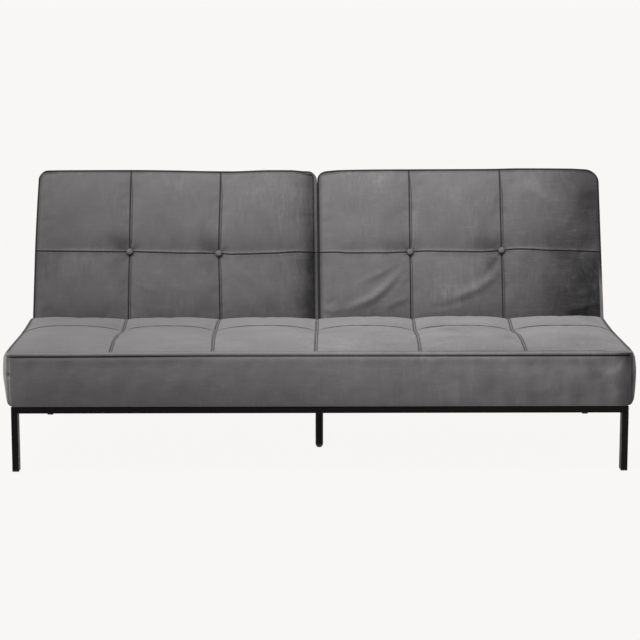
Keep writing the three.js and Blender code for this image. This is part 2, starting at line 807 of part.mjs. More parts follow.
// The leaf spring behind the pawl, fixed to the flange.
function pawlLeaf(x0, x1) {
  const { thick, low, bend, tipLow, tipAhead } = leaf;
  const foot = rearBoardFace + touch + fitting.plate + touch - axisY;
  return sidePlate(
    outlineOf([
      [foot, -low],
      [foot + thick, -low],
      [foot + thick, -bend],
      [thick - tipAhead, -tipLow],
      [-tipAhead, -tipLow],
      [foot, -bend],
    ]),
    x0,
    x1,
  );
}

// The pivot bolt, with its head outside the ear and its nut inside the arm.
function pivotBolt(endX, inward, armIn) {
  const { plate, pivot, boltHead, boltHeadHigh, boltEnd, earInset, sides } = fitting;
  const earOut = endX + inward * (earInset - touch);
  const nutFace = armIn + inward * touch;
  const nutEnd = nutFace + inward * plate;
  const shankFrom = earOut - (inward * boltHeadHigh) / 2;
  const shank = crossRod(pivot - touch, shankFrom, nutEnd + inward * touch, 0, 0, sides);
  const head = crossRod(boltHead, earOut - inward * boltHeadHigh, earOut, 0, 0, 6);
  const nut = crossRod(boltEnd, nutFace, nutEnd, 0, 0, 6);
  return joined(head, shank, nut);
}

function addFitting(group, name, endX, inward) {
  const armOut = endX + inward * (back.skirt + touch * 3);
  const armIn = armOut + inward * fitting.plate;
  const fixed = new THREE.Group();
  fixed.position.set(0, axisY, axisZ);
  sofa.add(fixed);
  add(fixed, `${name}_hinge_seat_plate`, seatPlate(endX, inward), finish.zinc);
  add(fixed, `${name}_hinge_pivot_bolt`, pivotBolt(endX, inward, armIn), finish.zinc);
  add(fixed, `${name}_pawl_spring`, pawlLeaf(armOut, armIn), finish.springSteel);
  add(group, `${name}_hinge_back_arm`, backArm(armOut, armIn), finish.zinc);
  const pivot = new THREE.Group();
  pivot.position.set(0, ...pawlPivot());
  fixed.add(pivot);
  add(pivot, `${name}_ratchet_pawl`, pawlLever(armOut, armIn), finish.zinc);
}

addBase();
addSeat();
for (const [hand, side, seamShares] of [
  ["left", -1, leftSeamShares],
  ["right", 1, rightSeamShares],
]) {
  const group = addBack(hand, side, seamShares);
  addFitting(group, `${hand}_outer`, side * back.halfWidth, -side);
  addFitting(group, `${hand}_inner`, (side * back.splitGap) / 2, side);
}

export default sofa;
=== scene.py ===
"""A click-clack sofa bed in grey velvet on a black tube base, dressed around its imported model.

Lengths are millimetres until a mesh is placed, and the blender frame is the model's own, in metres.
"""

import math

import bmesh
import bpy
import numpy as np
from mathutils import Matrix, Vector


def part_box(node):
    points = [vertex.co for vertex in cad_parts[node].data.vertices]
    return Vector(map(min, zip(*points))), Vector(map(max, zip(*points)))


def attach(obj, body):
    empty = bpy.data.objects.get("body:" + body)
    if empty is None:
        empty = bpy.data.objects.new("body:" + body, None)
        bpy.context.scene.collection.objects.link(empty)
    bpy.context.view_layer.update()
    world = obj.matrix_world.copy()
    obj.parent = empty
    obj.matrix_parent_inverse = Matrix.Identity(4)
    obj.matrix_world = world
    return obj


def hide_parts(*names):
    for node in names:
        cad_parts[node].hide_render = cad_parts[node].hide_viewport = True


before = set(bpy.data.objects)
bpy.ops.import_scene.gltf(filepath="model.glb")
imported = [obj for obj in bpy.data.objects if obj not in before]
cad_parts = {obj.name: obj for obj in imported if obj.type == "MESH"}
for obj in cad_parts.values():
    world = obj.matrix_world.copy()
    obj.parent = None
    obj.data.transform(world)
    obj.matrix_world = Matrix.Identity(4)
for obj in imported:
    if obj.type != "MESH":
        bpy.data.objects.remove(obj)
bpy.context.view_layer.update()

MM = 0.001
CLOTH_FRAMES = 22
# Edges turned by more than this are left sharp, on cut velvet and on screws, or eased, on hard parts
CUT_ANGLE, SCREW_ANGLE, EASED_ANGLE = (math.radians(turn) for turn in (75, 40, 50))

# Places shared with the model's own drawing
PIPING_Y = -463.43
SEAT = {
    "half_width": 965.0,
    "plane": 376.5,
    "rear": 587.23,
    "rear_roll": 7.0,
    "foot": 206.6,
    "corner": 14.0,
    "side_bulge": 25.0,
    "front_bulge": 10.0,
    "cross_seam": 385.0,
    "well_half": 945.0,
    "well_front": 19.7,
    "well_top": 310.6,
    "step_y": 574.53,
    "step_top": 327.5,
}
HINGE = {"y": 156.802, "z": 346.5, "lean": math.radians(22), "drop": 30.0}
BACK = {
    "outer": 961.0,
    "inner": 1.5,
    "top": 548.24,
    "corner": 30.0,
    "right_corner": 42.0,
    "cross_seam": 260.24,
    "rear": 116.7,
    "rear_face": 120.0,
    "skirt": 18.0,
    "notch": 32.0,
    "notch_top": 17.0,
    "well_front": -12.0,
    "well_foot": 20.0,
    "end_leans": 6.5,
    "split_leans": 4.5,
    "lean_fades": 120.0,
}
BUTTON = {"radius": 11.2, "seat": -35.4, "high": 8.0, "dimple": 7.5, "dimple_reach": 40.0, "steps": 48}
SCREW = {"radius": 4.4, "plate": 4.0, "from_end": 13.0, "heights": (10.0, 33.0), "steps": 24}

# Lengthwise seams of the seat: across at the front, at the cross seam and at the rear
SEAT_SEAMS = [
    (-649.0, -642.0, -643.0),
    (-334.0, -341.0, -329.0),
    (-17.0, -11.0, -7.0),
    (304.0, 309.0, 313.0),
    (631.0, 627.0, 633.0),
]
BACK_SEAMS = {"left": (-640.0, -338.0), "right": (311.0, 621.5)}
# How far the backs' top edges and cross seams wander upwards, at places across
BACK_TOP_LINE = (
    [-961, -900, -845, -640, -504, -368, -300, -163, -95, -40, 20, 72, 178, 587, 690, 860, 930, 961],
    [1.5, 3, 3.5, 4, 2.5, -0.5, -1, 3.2, 3, -1, -1, 3, 5, 7, 9, 8, 4.5, 3],
)
CROSS_LINE = (
    [-961, -880, -690, -640, -570, -436, -338, -290, -163, -60, 60]
    + [100, 230, 311, 350, 420, 550, 621.5, 670, 720, 790, 961],
    [7, 3, 1, 3, -1, -4.5, -3.5, -8, -5.5, 0, -1, -4.5, -4, 1, 2.5, 1, -1, 6, 9, 8, 3.5, 1],
)
# How far the left back's second seam leans to the right, at heights above the hinge
SECOND_SEAM_LEAN = ([0, 140, 260, 400, 548], [6.5, 4, 0, 2.5, 5])


# Lines and grids


def stations(places, fine, coarse, calm):
    """Grid lines through every place: fine steps beside each place, growing to coarse ones between."""
    lines = [places[0]]
    for low, high in zip(places, places[1:]):
        half = (high - low) / 2
        steps, reach, step = [], 0.0, fine
        while reach < half:
            steps.append(step)
            reach += step
            if reach > calm:
                step = min(step * 1.3, coarse)
        rise = np.cumsum(steps) * half / reach
        lines += [*(low + rise), *(high - rise[:-1][::-1]), high]
    return np.array(lines)


def eased(x, places, values):
    """A smooth line through the given values that never overshoots them."""
    places, values = np.array(places, float), np.array(values, float)
    run = np.diff(places)
    rise = np.diff(values) / run
    slope = np.zeros(len(places))
    turning = rise[1:] * rise[:-1] <= 0
    total = np.where(turning, 1, rise[1:] + rise[:-1])
    slope[1:-1] = np.where(turning, 0, 2 * rise[1:] * rise[:-1] / total)
    slope[0], slope[-1] = rise[0], rise[-1]
    i = np.clip(np.searchsorted(places, x) - 1, 0, len(run) - 1)
    t = np.clip((x - places[i]) / run[i], 0, 1)
    bend = run[i] * t * (1 - t) * (slope[i] * (1 - t) - slope[i + 1] * t)
    return values[i] + (values[i + 1] - values[i]) * t * t * (3 - 2 * t) + bend


def grown(value, start, end):
    """How far a value has come on its way from start to end, kept between 0 and 1."""
    return np.clip((value - start) / (end - start), 0, 1)


def dent(distance, width):
    """A soft groove's depth share at a distance from its line."""
    return np.exp(-((distance / width) ** 2))


def pillow(off, power):
    """Height share across a panel, from 1 in its middle to 0 at its seams."""
    return 1 - np.clip(off, 0, 1) ** power


def in_panel(x, edges):
    """Which panel x lies in, and its share of the way across it."""
    i = np.clip(np.searchsorted(edges, x, side="right") - 1, 0, len(edges) - 2)
    return i, grown(x, edges[i], edges[i + 1])


def panel_off(x, edges):
    """How far x lies from its panel's middle, from 0 to 1, and whether it is in an outer half."""
    i, share = in_panel(x, np.array(edges))
    outer = ((i == 0) & (share < 0.5)) | ((i == len(edges) - 2) & (share > 0.5))
    return np.abs(2 * share - 1), outer


def fold(a, b, width, height, *points):
    """A soft ridge along a line of points on a surface with coordinates a and b, dying out at its ends."""
    points = np.array(points, float).reshape(-1, 2)
    legs = np.diff(points, axis=0)
    long = np.hypot(legs[:, 0], legs[:, 1])
    reached = np.concatenate([[0], np.cumsum(long)])
    near = np.full(np.shape(a), 1e9)
    along = np.zeros(np.shape(a))
    for start, leg, size, before in zip(points, legs, long, reached):
        t = np.clip(((a - start[0]) * leg[0] + (b - start[1]) * leg[1]) / size**2, 0, 1)
        away = np.hypot(a - start[0] - t * leg[0], b - start[1] - t * leg[1])
        closer = away < near
        near = np.where(closer, away, near)
        along = np.where(closer, (before + t * size) / reached[-1], along)
    return height * dent(near, width) * np.sin(math.pi * np.clip(along, 0.04, 0.96)) ** 0.7


def folds(a, b, table):
    """The sum of a table's folds, each with its width, height and points."""
    return sum(fold(a, b, *row) for row in table)


def grooves(away, rows):
    """How deep rows of stitches lie beside a seam's line, each with its place, depth and width."""
    return sum(depth * dent(away - place, width) for place, depth, width in rows)


def darkest(away, rows):
    """How much painted shade lies in rows of stitches beside a seam's line, each with its place, darkness and
    width.
    """
    return np.max([dark * dent(away - place, width) for place, dark, width in rows], axis=0)


def waver(a, b, reach, seed):
    """A gentle unevenness between -1 and 1, with waves about reach long."""
    turn = np.random.default_rng(seed)
    total = np.zeros(np.shape(a))
    for _ in range(7):
        way, phase = turn.uniform(0, math.pi), turn.uniform(0, 2 * math.pi)
        size = reach * turn.uniform(0.7, 1.6)
        total = total + np.sin(2 * math.pi * (a * math.cos(way) + b * math.sin(way)) / size + phase)
    return total / 7


def rounded(a, b):
    """A square's corner region, from 0 to 1 each way, drawn onto a quarter disc."""
    return a * np.sqrt(1 - b * b / 2), b * np.sqrt(1 - a * a / 2)


def back_corners(x, z, low, high):
    """A back's outline with its top corners rounded: where each point lies, and its part of a corner."""
    top, fades = BACK["top"], BACK["lean_fades"]
    middle = (low + high) / 2
    sign = np.sign(x - middle)
    r = np.where((middle > 0) & (sign > 0), BACK["right_corner"], BACK["corner"])
    end = np.where(sign < 0, x - low, high - x)
    in_corner = (end < r) & (z > top - r)
    a, b = rounded(grown(end, r, 0), grown(z, top - r, top))
    across = np.where(in_corner, np.where(sign < 0, low + r - r * a, high - r + r * a), x)
    up = np.where(in_corner, top - r + r * b, z)
    if middle < 0:
        # the left end leans in towards the top
        across = across + BACK["end_leans"] * grown(z, 250, 550) ** 1.6 * grown(x, low + fades, low) ** 2
    # the split leans a little to the left at its top
    across = across - BACK["split_leans"] * grown(z, 0, top) * grown(np.abs(x), fades, 0) ** 2
    up = up + eased(x, *BACK_TOP_LINE) * grown(z, 300, 550)
    return across, up, a, b, sign, in_corner, r


def cross_line(x, z):
    """How far a back's padding is drawn up or down at a point by its wandering cross seam."""
    return eased(x, *CROSS_LINE) * grown(np.abs(z - BACK["cross_seam"]), 220, 30)


# Meshes


def shell(columns, rows, rings):
    """A grid whose border is drawn out ring by ring and closed behind, with each vertex's place in it."""
    bm = bmesh.new()
    tags = [bm.verts.layers.int.new(name) for name in ("column", "row", "ring")]
    bmesh.ops.create_grid(bm, x_segments=len(columns) - 1, y_segments=len(rows) - 1, size=1)
    for i, vert in enumerate(bm.verts):
        vert[tags[0]], vert[tags[1]] = i % len(columns), i // len(columns)
    border = [edge for edge in bm.edges if edge.is_boundary]
    for ring in range(1, rings + 1):
        made = bmesh.ops.extrude_edge_only(bm, edges=border)["geom"]
        for vert in (part for part in made if isinstance(part, bmesh.types.BMVert)):
            vert[tags[2]] = ring
        border = [part for part in made if isinstance(part, bmesh.types.BMEdge) and part.is_boundary]
    bmesh.ops.edgeloop_fill(bm, edges=border)
    places = np.array([[vert[tag] for tag in tags] for vert in bm.verts])
    for tag in ("column", "row", "ring"):
        bm.verts.layers.int.remove(bm.verts.layers.int[tag])
    return bm, places


def spread(columns, rows, rings, places):
    """The lines across and along that each vertex of a shell belongs to, and how far out on the rim it is."""
    return columns[places[:, 0]], rows[places[:, 1]], np.concatenate([[0], rings])[places[:, 2]]


def rims(columns, rows, places):
    """Which vertices of a shell are on its rim, and which at its sides, its first row and its last one."""
    column, row, ring = places.T
    return ring > 0, np.isin(column, (0, len(columns) - 1)), row == 0, row == len(rows) - 1


def outward(a, b, sign, in_corner, at_side, at_edge):
    """The way out of a shell's rim: across at its sides, and over its rounded edge."""
    size = np.hypot(a, b) + 1e-9
    across = np.where(in_corner, sign * a / size, np.where(at_side, sign, 0.0))
    return across, np.where(in_corner, b / size, np.where(at_edge & ~at_side, 1.0, 0.0))


def finished(bm, name, points, **marks):
    """The bmesh as an object, its vertices moved to points, in millimetres, and marked with values."""
    for vert, point in zip(bm.verts, points * MM):
        vert.co = point
    for mark, values in marks.items():
        layer = bm.verts.layers.float.new(mark)
        for vert, value in zip(bm.verts, values):
            vert[layer] = value
    bmesh.ops.recalc_face_normals(bm, faces=bm.faces)
    return placed(bm, name)


def placed(bm, name):
    """The bmesh as a smooth object."""
    for face in bm.faces:
        face.smooth = True
    mesh = bpy.data.meshes.new(name)
    bm.to_mesh(mesh)
    bm.free()
    piece = bpy.data.objects.new(name, mesh)
    bpy.context.scene.collection.objects.link(piece)
    return piece


def block(low, high, place=Matrix.Identity(4)):
    """A box between two corners, in millimetres, moved by place."""
    bm = bmesh.new()
    bmesh.ops.create_cube(bm, size=1)
    low, high = Vector(low) * MM, Vector(high) * MM
    bmesh.ops.scale(bm, vec=high - low, verts=bm.verts)
    bmesh.ops.translate(bm, vec=(high + low) / 2, verts=bm.verts)
    bmesh.ops.transform(bm, matrix=place, verts=bm.verts)
    return bm


def spun(bm, profile, centre, steps):
    """Turns a profile, in millimetres out and rearwards, about a line that runs rearwards through centre."""
    centre = Vector(centre) * MM
    line = [bm.verts.new(centre + Vector((out, rearwards, 0)) * MM) for out, rearwards in profile]
    edges = [bm.edges.new(pair) for pair in zip(line, line[1:])]
    bmesh.ops.spin(
        bm, geom=line + edges, cent=centre, axis=(0, 1, 0), dvec=(0, 0, 0),
        angle=2 * math.pi, steps=steps, use_merge=True,
    )
    bmesh.ops.remove_doubles(bm, verts=bm.verts, dist=1e-6)
    bmesh.ops.recalc_face_normals(bm, faces=bm.faces)


def settle(piece):
    """Makes a piece's modifiers part of its mesh."""
    graph = bpy.context.evaluated_depsgraph_get()
    mesh = bpy.data.meshes.new_from_object(piece.evaluated_get(graph))
    piece.modifiers.clear()
    piece.data = mesh


def carved(piece, cutters):
    """The piece less each of the cutters."""
    for bm in cutters:
        tool = placed(bm, "cutter")
        cut = piece.modifiers.new("cut", "BOOLEAN")
        cut.operation = "DIFFERENCE"
        cut.solver = "EXACT"
        cut.object = tool
        settle(piece)
        bpy.data.objects.remove(tool)
    piece.data.set_sharp_from_angle(angle=CUT_ANGLE)
    return piece


# Cloth

WEAVE = {
    "quality": 6,
    "mass": 0.25,
    "tension_stiffness": 20,
    "compression_stiffness": 20,
    "shear_stiffness": 8,
    "bending_stiffness": 0.6,
    "tension_damping": 12,
    "compression_damping": 12,
    "shear_damping": 12,
    "air_damping": 3,
    "vertex_group_mass": "held",
    "use_pressure": True,
}


def evenly(places, step):
    """Grid lines through every place, about a step apart."""
    lines = [places[0]]
    for low, high in zip(places, places[1:]):
        lines += list(np.linspace(low, high, max(2, round((high - low) / step)) + 1)[1:])
    return np.array(lines)


def released(points, held, slack, puff):
    """Where a net of cloth settles when it is a little too large and padding pushes it out."""
    rows, columns = held.shape
    bm = bmesh.new()
    bmesh.ops.create_grid(bm, x_segments=columns - 1, y_segments=rows - 1, size=1)
    for vert, point in zip(bm.verts, points.reshape(-1, 3) * MM):
        vert.co = point
    net = placed(bm, "net")
    group = net.vertex_groups.new(name="held")
    group.add([int(i) for i in np.flatnonzero(held)], 1.0, "REPLACE")
    cloth = net.modifiers.new("cloth", "CLOTH")
    cloth.collision_settings.use_collision = False
    cloth.point_cache.frame_start, cloth.point_cache.frame_end = 1, CLOTH_FRAMES
    for setting, value in {**WEAVE, "shrink_min": -slack, "uniform_pressure_force": puff}.items():
        setattr(cloth.settings, setting, value)
    cloth.settings.effector_weights.gravity = 0
    for moment in range(1, CLOTH_FRAMES + 1):
        bpy.context.scene.frame_set(moment)
    graph = bpy.context.evaluated_depsgraph_get()
    mesh = net.evaluated_get(graph).to_mesh()
    places = np.empty(len(mesh.vertices) * 3)
    mesh.vertices.foreach_get("co", places)
    bpy.data.objects.remove(net)
    bpy.context.scene.frame_set(1)
    return places.reshape(points.shape) / MM


class Settled:
    """Cloth held along lines, let go between them, whose movement can be read at any place."""

    def __init__(self, across, up, step, shape, slack, puff, cap):
        self.across, self.up = evenly(across, step), evenly(up, step)
        a, b = np.meshgrid(self.across, self.up)
        held = np.isin(a, across) | np.isin(b, up)
        points = np.stack(shape(a, b), axis=2)
        move = released(points, held, slack, puff) - points
        size = np.linalg.norm(move, axis=2, keepdims=True) + 1e-9
        self.move = move * cap * np.tanh(size / cap) / size

    def at(self, a, b):
        """How far the cloth moved at each place, drawn smoothly between the net's points."""
        u = np.interp(a, self.across, np.arange(len(self.across)))
        v = np.interp(b, self.up, np.arange(len(self.up)))
        i, j = np.floor(u).astype(int), np.floor(v).astype(int)
        total = np.zeros((len(u), 3))
        for n, share_u in enumerate(bell(u - i)):
            for m, share_v in enumerate(bell(v - j)):
                column = np.clip(i + n - 1, 0, len(self.across) - 1)
                row = np.clip(j + m - 1, 0, len(self.up) - 1)
                total += (share_u * share_v)[:, None] * self.move[row, column]
        return total


def bell(t):
    """The shares of four neighbours in a smooth line through them."""
    return [(1 - t) ** 3 / 6, (3 * t**3 - 6 * t**2 + 4) / 6, (-3 * t**3 + 3 * t**2 + 3 * t + 1) / 6, t**3 / 6]


# Seat cushion


# The seat's left end, its seams at the front and its right end
SEAT_EDGES = [-SEAT["half_width"], *(seam[0] for seam in SEAT_SEAMS), SEAT["half_width"]]
# How high the padding stands along the panels' middles and along their seams, at places rearwards
SEAT_RIDGE = (
    [0, 20, 60, 120, 190, 300, 385, 450, 520, 560, 581],
    [0, 5, 15, 23.5, 27, 26, 21.5, 25, 25, 21, 14],
)
SEAT_VALLEY = (
    [0, 20, 60, 130, 190, 290, 368, 385, 402, 450, 505, 555, 581],
    [0, 4, 11, 19.5, 20.5, 12.5, 5.5, 4.5, 5.5, 12, 17.5, 15, 8],
)
# Rows of stitches: place, depth and width, and then place, darkness of painted shade and width
SEAT_SEAM = [(0, 3.4, 1.7), (6.9, 1.7, 1.3), (3.5, -0.5, 1.9)]
SEAT_SEAM_PAINTED_SHADE = [(0, 1, 2.5), (6.9, 0.9, 1.9)]
SEAT_CROSS_SEAM = [(0, 3.4, 2.4), (6, -1.2, 4)]
# How far the piping climbs at the rear corners, and how plainly its stitches show, at places across
PIPING_CLIMB = ([0, 385, 480, 587], [0, 0, 5, 17])
PIPING_PLAIN = ([-965, -200, 300, 965], [0.25, 0.4, 0.95, 1])
PIPING_STITCH = 9.5


def seat_rise(x, s):
    """The seat's top above the piping, and the painted shade in its seams and on its welts; x is across at
    the front.
    """
    half = SEAT["half_width"]
    off, outer = panel_off(x, SEAT_EDGES)
    ridge, valley = eased(s, *SEAT_RIDGE), eased(s, *SEAT_VALLEY)
    ridge = ridge + 4 * grown(x, 0, 300) * grown(s, 430, 550)
    rise = np.where(outer, ridge * pillow(off, 3.2), valley + (ridge - valley) * pillow(off, 2.5))
    rise = rise + eased(s, *PIPING_CLIMB) * grown(np.abs(x), half - 170, half) ** 2
    rise = rise + 0.9 * waver(x, s, 170, 3) * grown(rise, 0, 12)

    started = grown(s, 10, 15)
    crease, crossings = np.zeros(np.shape(x)), np.zeros(np.shape(x))
    for seam in SEAT_EDGES[1:-1]:
        rise = rise - started * grooves(x - seam, SEAT_SEAM)
        # painted shade in the seams' stitch rows
        crease = np.maximum(crease, started * darkest(x - seam, SEAT_SEAM_PAINTED_SHADE))
        crossings = np.maximum(crossings, dent(x - seam - 3, 26))
    # the cross seam fades where a lengthwise seam crosses it
    along = 1 - 0.85 * crossings
    from_cross = s - SEAT["cross_seam"]
    rise = rise - along * grooves(from_cross, SEAT_CROSS_SEAM)
    crease = np.maximum(crease, along * dent(from_cross, 5.4))

    beside = half - np.abs(x)
    stitch = np.minimum(s, beside) - PIPING_STITCH
    plain = np.interp(x, *PIPING_PLAIN)
    rise = rise - 1.1 * plain * dent(stitch, 1.5)
    crease = np.maximum(crease, np.where(beside < s, 0.15, 0.5 * plain) * dent(stitch, 2.4))
    # the side welts lie in painted shade
    welt = np.where(x > 0, 5.4, 3.3)
    shaded = grown(beside, 1.7 * welt, 0.7 * welt) * grown(s, 12, 52)
    return rise, np.maximum(crease, 0.95 * shaded)


# Strokes of painted light and shade in the front band's pile: width and change, then points across and down
# from the piping
BAND_PAINTED_LIGHT_STROKES = [
    (8, 0.58, 896, 68, 917, 44, 934, 20),
    (7, 0.4, 868, 76, 889, 55, 906, 34),
    (11, -0.18, 832, 62, 855, 66, 874, 76),
    (12, -0.12, 780, 44, 816, 40, 842, 50),
    (12, -0.2, 822, 20, 880, 12, 940, 14),
    (13, -0.14, 826, 16, 840, 60, 836, 100),
    (11, 0.22, 892, 90, 908, 120, 903, 156),
    (9, -0.1, 866, 90, 872, 120, 860, 150),
    (11, -0.1, 760, 76, 800, 64, 840, 80),
    (16, 0.09, 700, 60, 712, 90, 704, 130),
    (16, 0.09, 540, 60, 620, 45, 690, 52),
    (16, 0.09, 380, 50, 400, 90, 395, 130),
    (14, -0.08, 600, 112, 680, 126, 760, 118),
    (12, -0.06, 470, 30, 480, 70, 474, 110),
    (10, 0.12, -420, 26, -180, 29, 120, 26),
    (13, -0.09, 500, 100, 512, 130, 506, 160),
    (11, -0.1, 790, 100, 800, 130, 792, 158),
    (12, -0.08, 640, 26, 660, 60, 652, 96),
]
# Strokes of painted light and shade in the pile of the seat's top: width and change, then points across and
# rearwards
SEAT_PAINTED_LIGHT_STROKES = [
    (60, -0.12, 40, 120, 160, 140, 280, 110),
    (45, -0.11, 330, 90, 420, 100, 540, 80),
    (26, -0.24, 385, 310, 420, 240, 455, 170),
    (45, 0.16, 400, 420, 500, 440, 590, 420),
    (28, -0.18, 550, 50, 590, 130, 600, 220),
    (40, 0.18, 680, 330, 780, 345, 880, 320),
    (55, -0.18, 760, 110, 850, 100, 940, 150),
    (40, -0.2, 850, 470, 900, 480, 940, 460),
    (34, 0.1, 60, 300, 150, 330, 240, 310),
]
# Painted light and shade on the seat's pile at places across, and how it changes rearwards
SEAT_PAINTED_LIGHT_ACROSS = ([-965, -650, -340, -170, 0, 320, 640, 965], [-0.07, -0.02, 0.1, 0.23, 0.22, 0.18, 0.12, 0.09])
SEAT_PAINTED_LIGHT_REARWARDS = ([0, 60, 200, 385, 450, 581], [-0.1, 0, 0.1, 0.03, 0.08, 0.12])
# Painted light and shade on the band's pile across, painted shade down from the piping, painted light and
# shade down at its left end, and painted shade close below the piping
BAND_PAINTED_LIGHT_ACROSS = (
    [-965, -950, -900, -400, -200, 0, 200, 600, 760, 870, 912, 930, 945, 965],
    [0.02, -0.1, -0.16, -0.1, 0.0, 0.07, 0.12, 0.15, 0.13, 0.08, -0.02, -0.28, -0.48, -0.56],
)
BAND_PAINTED_SHADE_DOWN = ([8, 24, 60, 169], [-0.02, 0, 0, -0.1])
BAND_PAINTED_LIGHT_LEFT = ([10, 30, 90, 169], [-0.08, -0.07, -0.02, 0.07])
BAND_PAINTED_SHADE_TOP = ([-965, -500, -200, 200, 500, 965], [0.1, 0.09, 0, 0.02, 0.06, 0.06])


def seat_pile_and_painted_light(x, s):
    """The seat's pile tone with painted light and shade, from darker to lighter."""
    tone_with_painted_light = eased(x, *SEAT_PAINTED_LIGHT_ACROSS) + eased(s, *SEAT_PAINTED_LIGHT_REARWARDS) * (1 + 0.8 * np.clip(x / 500, -1, 1))
    uneven = 0.06 * waver(x, s * 1.6, 420, 31) + 0.05 * (1 + 0.9 * grown(x, 0, 500)) * waver(x, s, 140, 32)
    return tone_with_painted_light + folds(x, s, SEAT_PAINTED_LIGHT_STROKES) + uneven


def band_pile_and_painted_light(x, drop):
    """The front band's pile tone with painted light and shade."""
    tone_with_painted_light = eased(x, *BAND_PAINTED_LIGHT_ACROSS) + eased(drop, *BAND_PAINTED_SHADE_DOWN)
    tone_with_painted_light = tone_with_painted_light + eased(drop, *BAND_PAINTED_LIGHT_LEFT) * grown(x, -350, -650)
    tone_with_painted_light = tone_with_painted_light - eased(x, *BAND_PAINTED_SHADE_TOP) * dent(drop - 14, 5)
    tone_with_painted_light = tone_with_painted_light - 0.2 * grown(drop, 62, 22) * grown(x, 480, 650)
    blotched = np.clip((x + 100) / 600, 0.12, 1.15)
    tone_with_painted_light = tone_with_painted_light + blotched * (0.14 * waver(x, drop * 1.3, 210, 33) + 0.15 * waver(x * 1.4, drop, 75, 34))
    return tone_with_painted_light + folds(x, drop, BAND_PAINTED_LIGHT_STROKES)


def seat_cloth():
    """The seat's top, seen from above: across, rearwards and up from its piping."""
    return Settled(
        SEAT_EDGES,
        [0.0, SEAT["cross_seam"], SEAT["rear"] - SEAT["rear_roll"]],
        12.5,
        lambda x, s: (x, s, seat_rise(x, s)[0]),
        slack=0.006, puff=1.5, cap=7.0,
    )


def band_cloth():
    """The front band, seen from the front: across, forwards and up from its foot."""
    half, high = SEAT["half_width"] - SEAT["corner"], SEAT_DROPS[-1] - 16.0
    return Settled(
        [-half, half],
        [8.0, high],
        12.5,
        lambda x, up: (x, -SEAT["front_bulge"] * eased(up / SEAT_DROPS[-1], *FRONT_BULGE), up),
        slack=0.005, puff=0.6, cap=4.0,
    )


# How far down each ring of the seat's band lies, and how far its lip stands out there
SEAT_DROPS = [0.7, 1.7, 3, 4.4, 5.8, 7, 8, 8.9, 9.8, 11, 12.8, 15.5, 19.5, 25, 32, 40, 49, 58, 67, 76, 85]
SEAT_DROPS += [94, 103, 112, 121, 130, 138, 145, 151, 156, 160, 163, 165.5, 167.5, 169, 169.9]
SEAT_LIP = (
    [0, *SEAT_DROPS[:12], 40],
    [0, 1.7, 2.9, 3.6, 3.7, 3, 1.6, -0.6, -2.1, -2.4, -1.6, 0.3, 1.6, 0],
)
# How far the front and the sides swell out, at shares of the way up, and where along them they do
FRONT_BULGE = ([0, 0.16, 0.5, 0.84, 1], [0, 0.62, 1, 0.82, 0])
FRONT_SWELL = ([0, 14, 70, 965], [0.3, 0.36, 1, 1])
SIDE_SWELL = ([0, 14, 50, 110, 480, 587], [0.12, 0.16, 0.6, 1, 1, 0.8])
LEFT_BULGE = ([0, 0.08, 0.28, 0.5, 0.78, 0.93, 1], [0.3, 0.58, 0.84, 1.0, 0.97, 0.6, 0])
RIGHT_BULGE = ([0, 0.08, 0.28, 0.5, 0.78, 0.93, 1], [0.7, 0.82, 0.95, 1.0, 0.97, 0.6, 0])
# How far the side welts are drawn in, at places rearwards
LEFT_TUCK = ([0, 385, 587], [2, 3, 5])
RIGHT_TUCK = ([0, 200, 385, 587], [4.5, 7, 8.5, 13])
# How deep the painted shade is below the front piping, at places across, and on the side welts, at places
# down
PIPING_SHADE = (
    [-965, -950, -910, -600, -330, 0, 330, 600, 910, 950, 965],
    [0.3, 0.6, 0.88, 0.85, 0.4, 0.3, 0.45, 0.8, 0.85, 0.6, 0.3],
)
SIDE_WELT_SHADE = ([0, 2, 4.4, 7, 8.5, 9.8, 12], [0.85, 0.85, 0.4, 0.35, 0.85, 0.8, 0])
# Small folds on the front band: width and height, then points across and up
BAND_FOLDS = [
    (5, 2.0, 878, 322, 893, 338, 908, 352),
    (4, 1.6, 908, 328, 918, 341, 925, 350),
    (8, -1.6, 845, 300, 866, 296, 885, 303),
    (9, 1.5, 898, 300, 905, 282, 902, 262),
    (12, 1.0, 700, 335, 740, 327, 790, 331),
    (14, -1.1, 760, 280, 800, 262, 850, 262),
]
# A small pleat round the left front corner, and the hollow beneath it: width and height, then points
CORNER_PLEAT = (4, 1, -16, 307, -4, 308, 10, 312, 30, 314)
CORNER_HOLLOW = (7, 1, -18, 298, -4, 297, 8, 300)


def seam_wander(x, s):
    """How far the seat's seams, wandering on their way rearwards, draw a point across."""
    still = np.zeros(len(s))
    bend = [eased(s, [0, SEAT["cross_seam"], 587], seam) - seam[0] for seam in SEAT_SEAMS]
    bend = np.array([still, *bend, still])
    i, t = in_panel(x, np.array(SEAT_EDGES))
    vertex = np.arange(len(s))
    return (1 - t) * bend[i, vertex] + t * bend[i + 1, vertex]


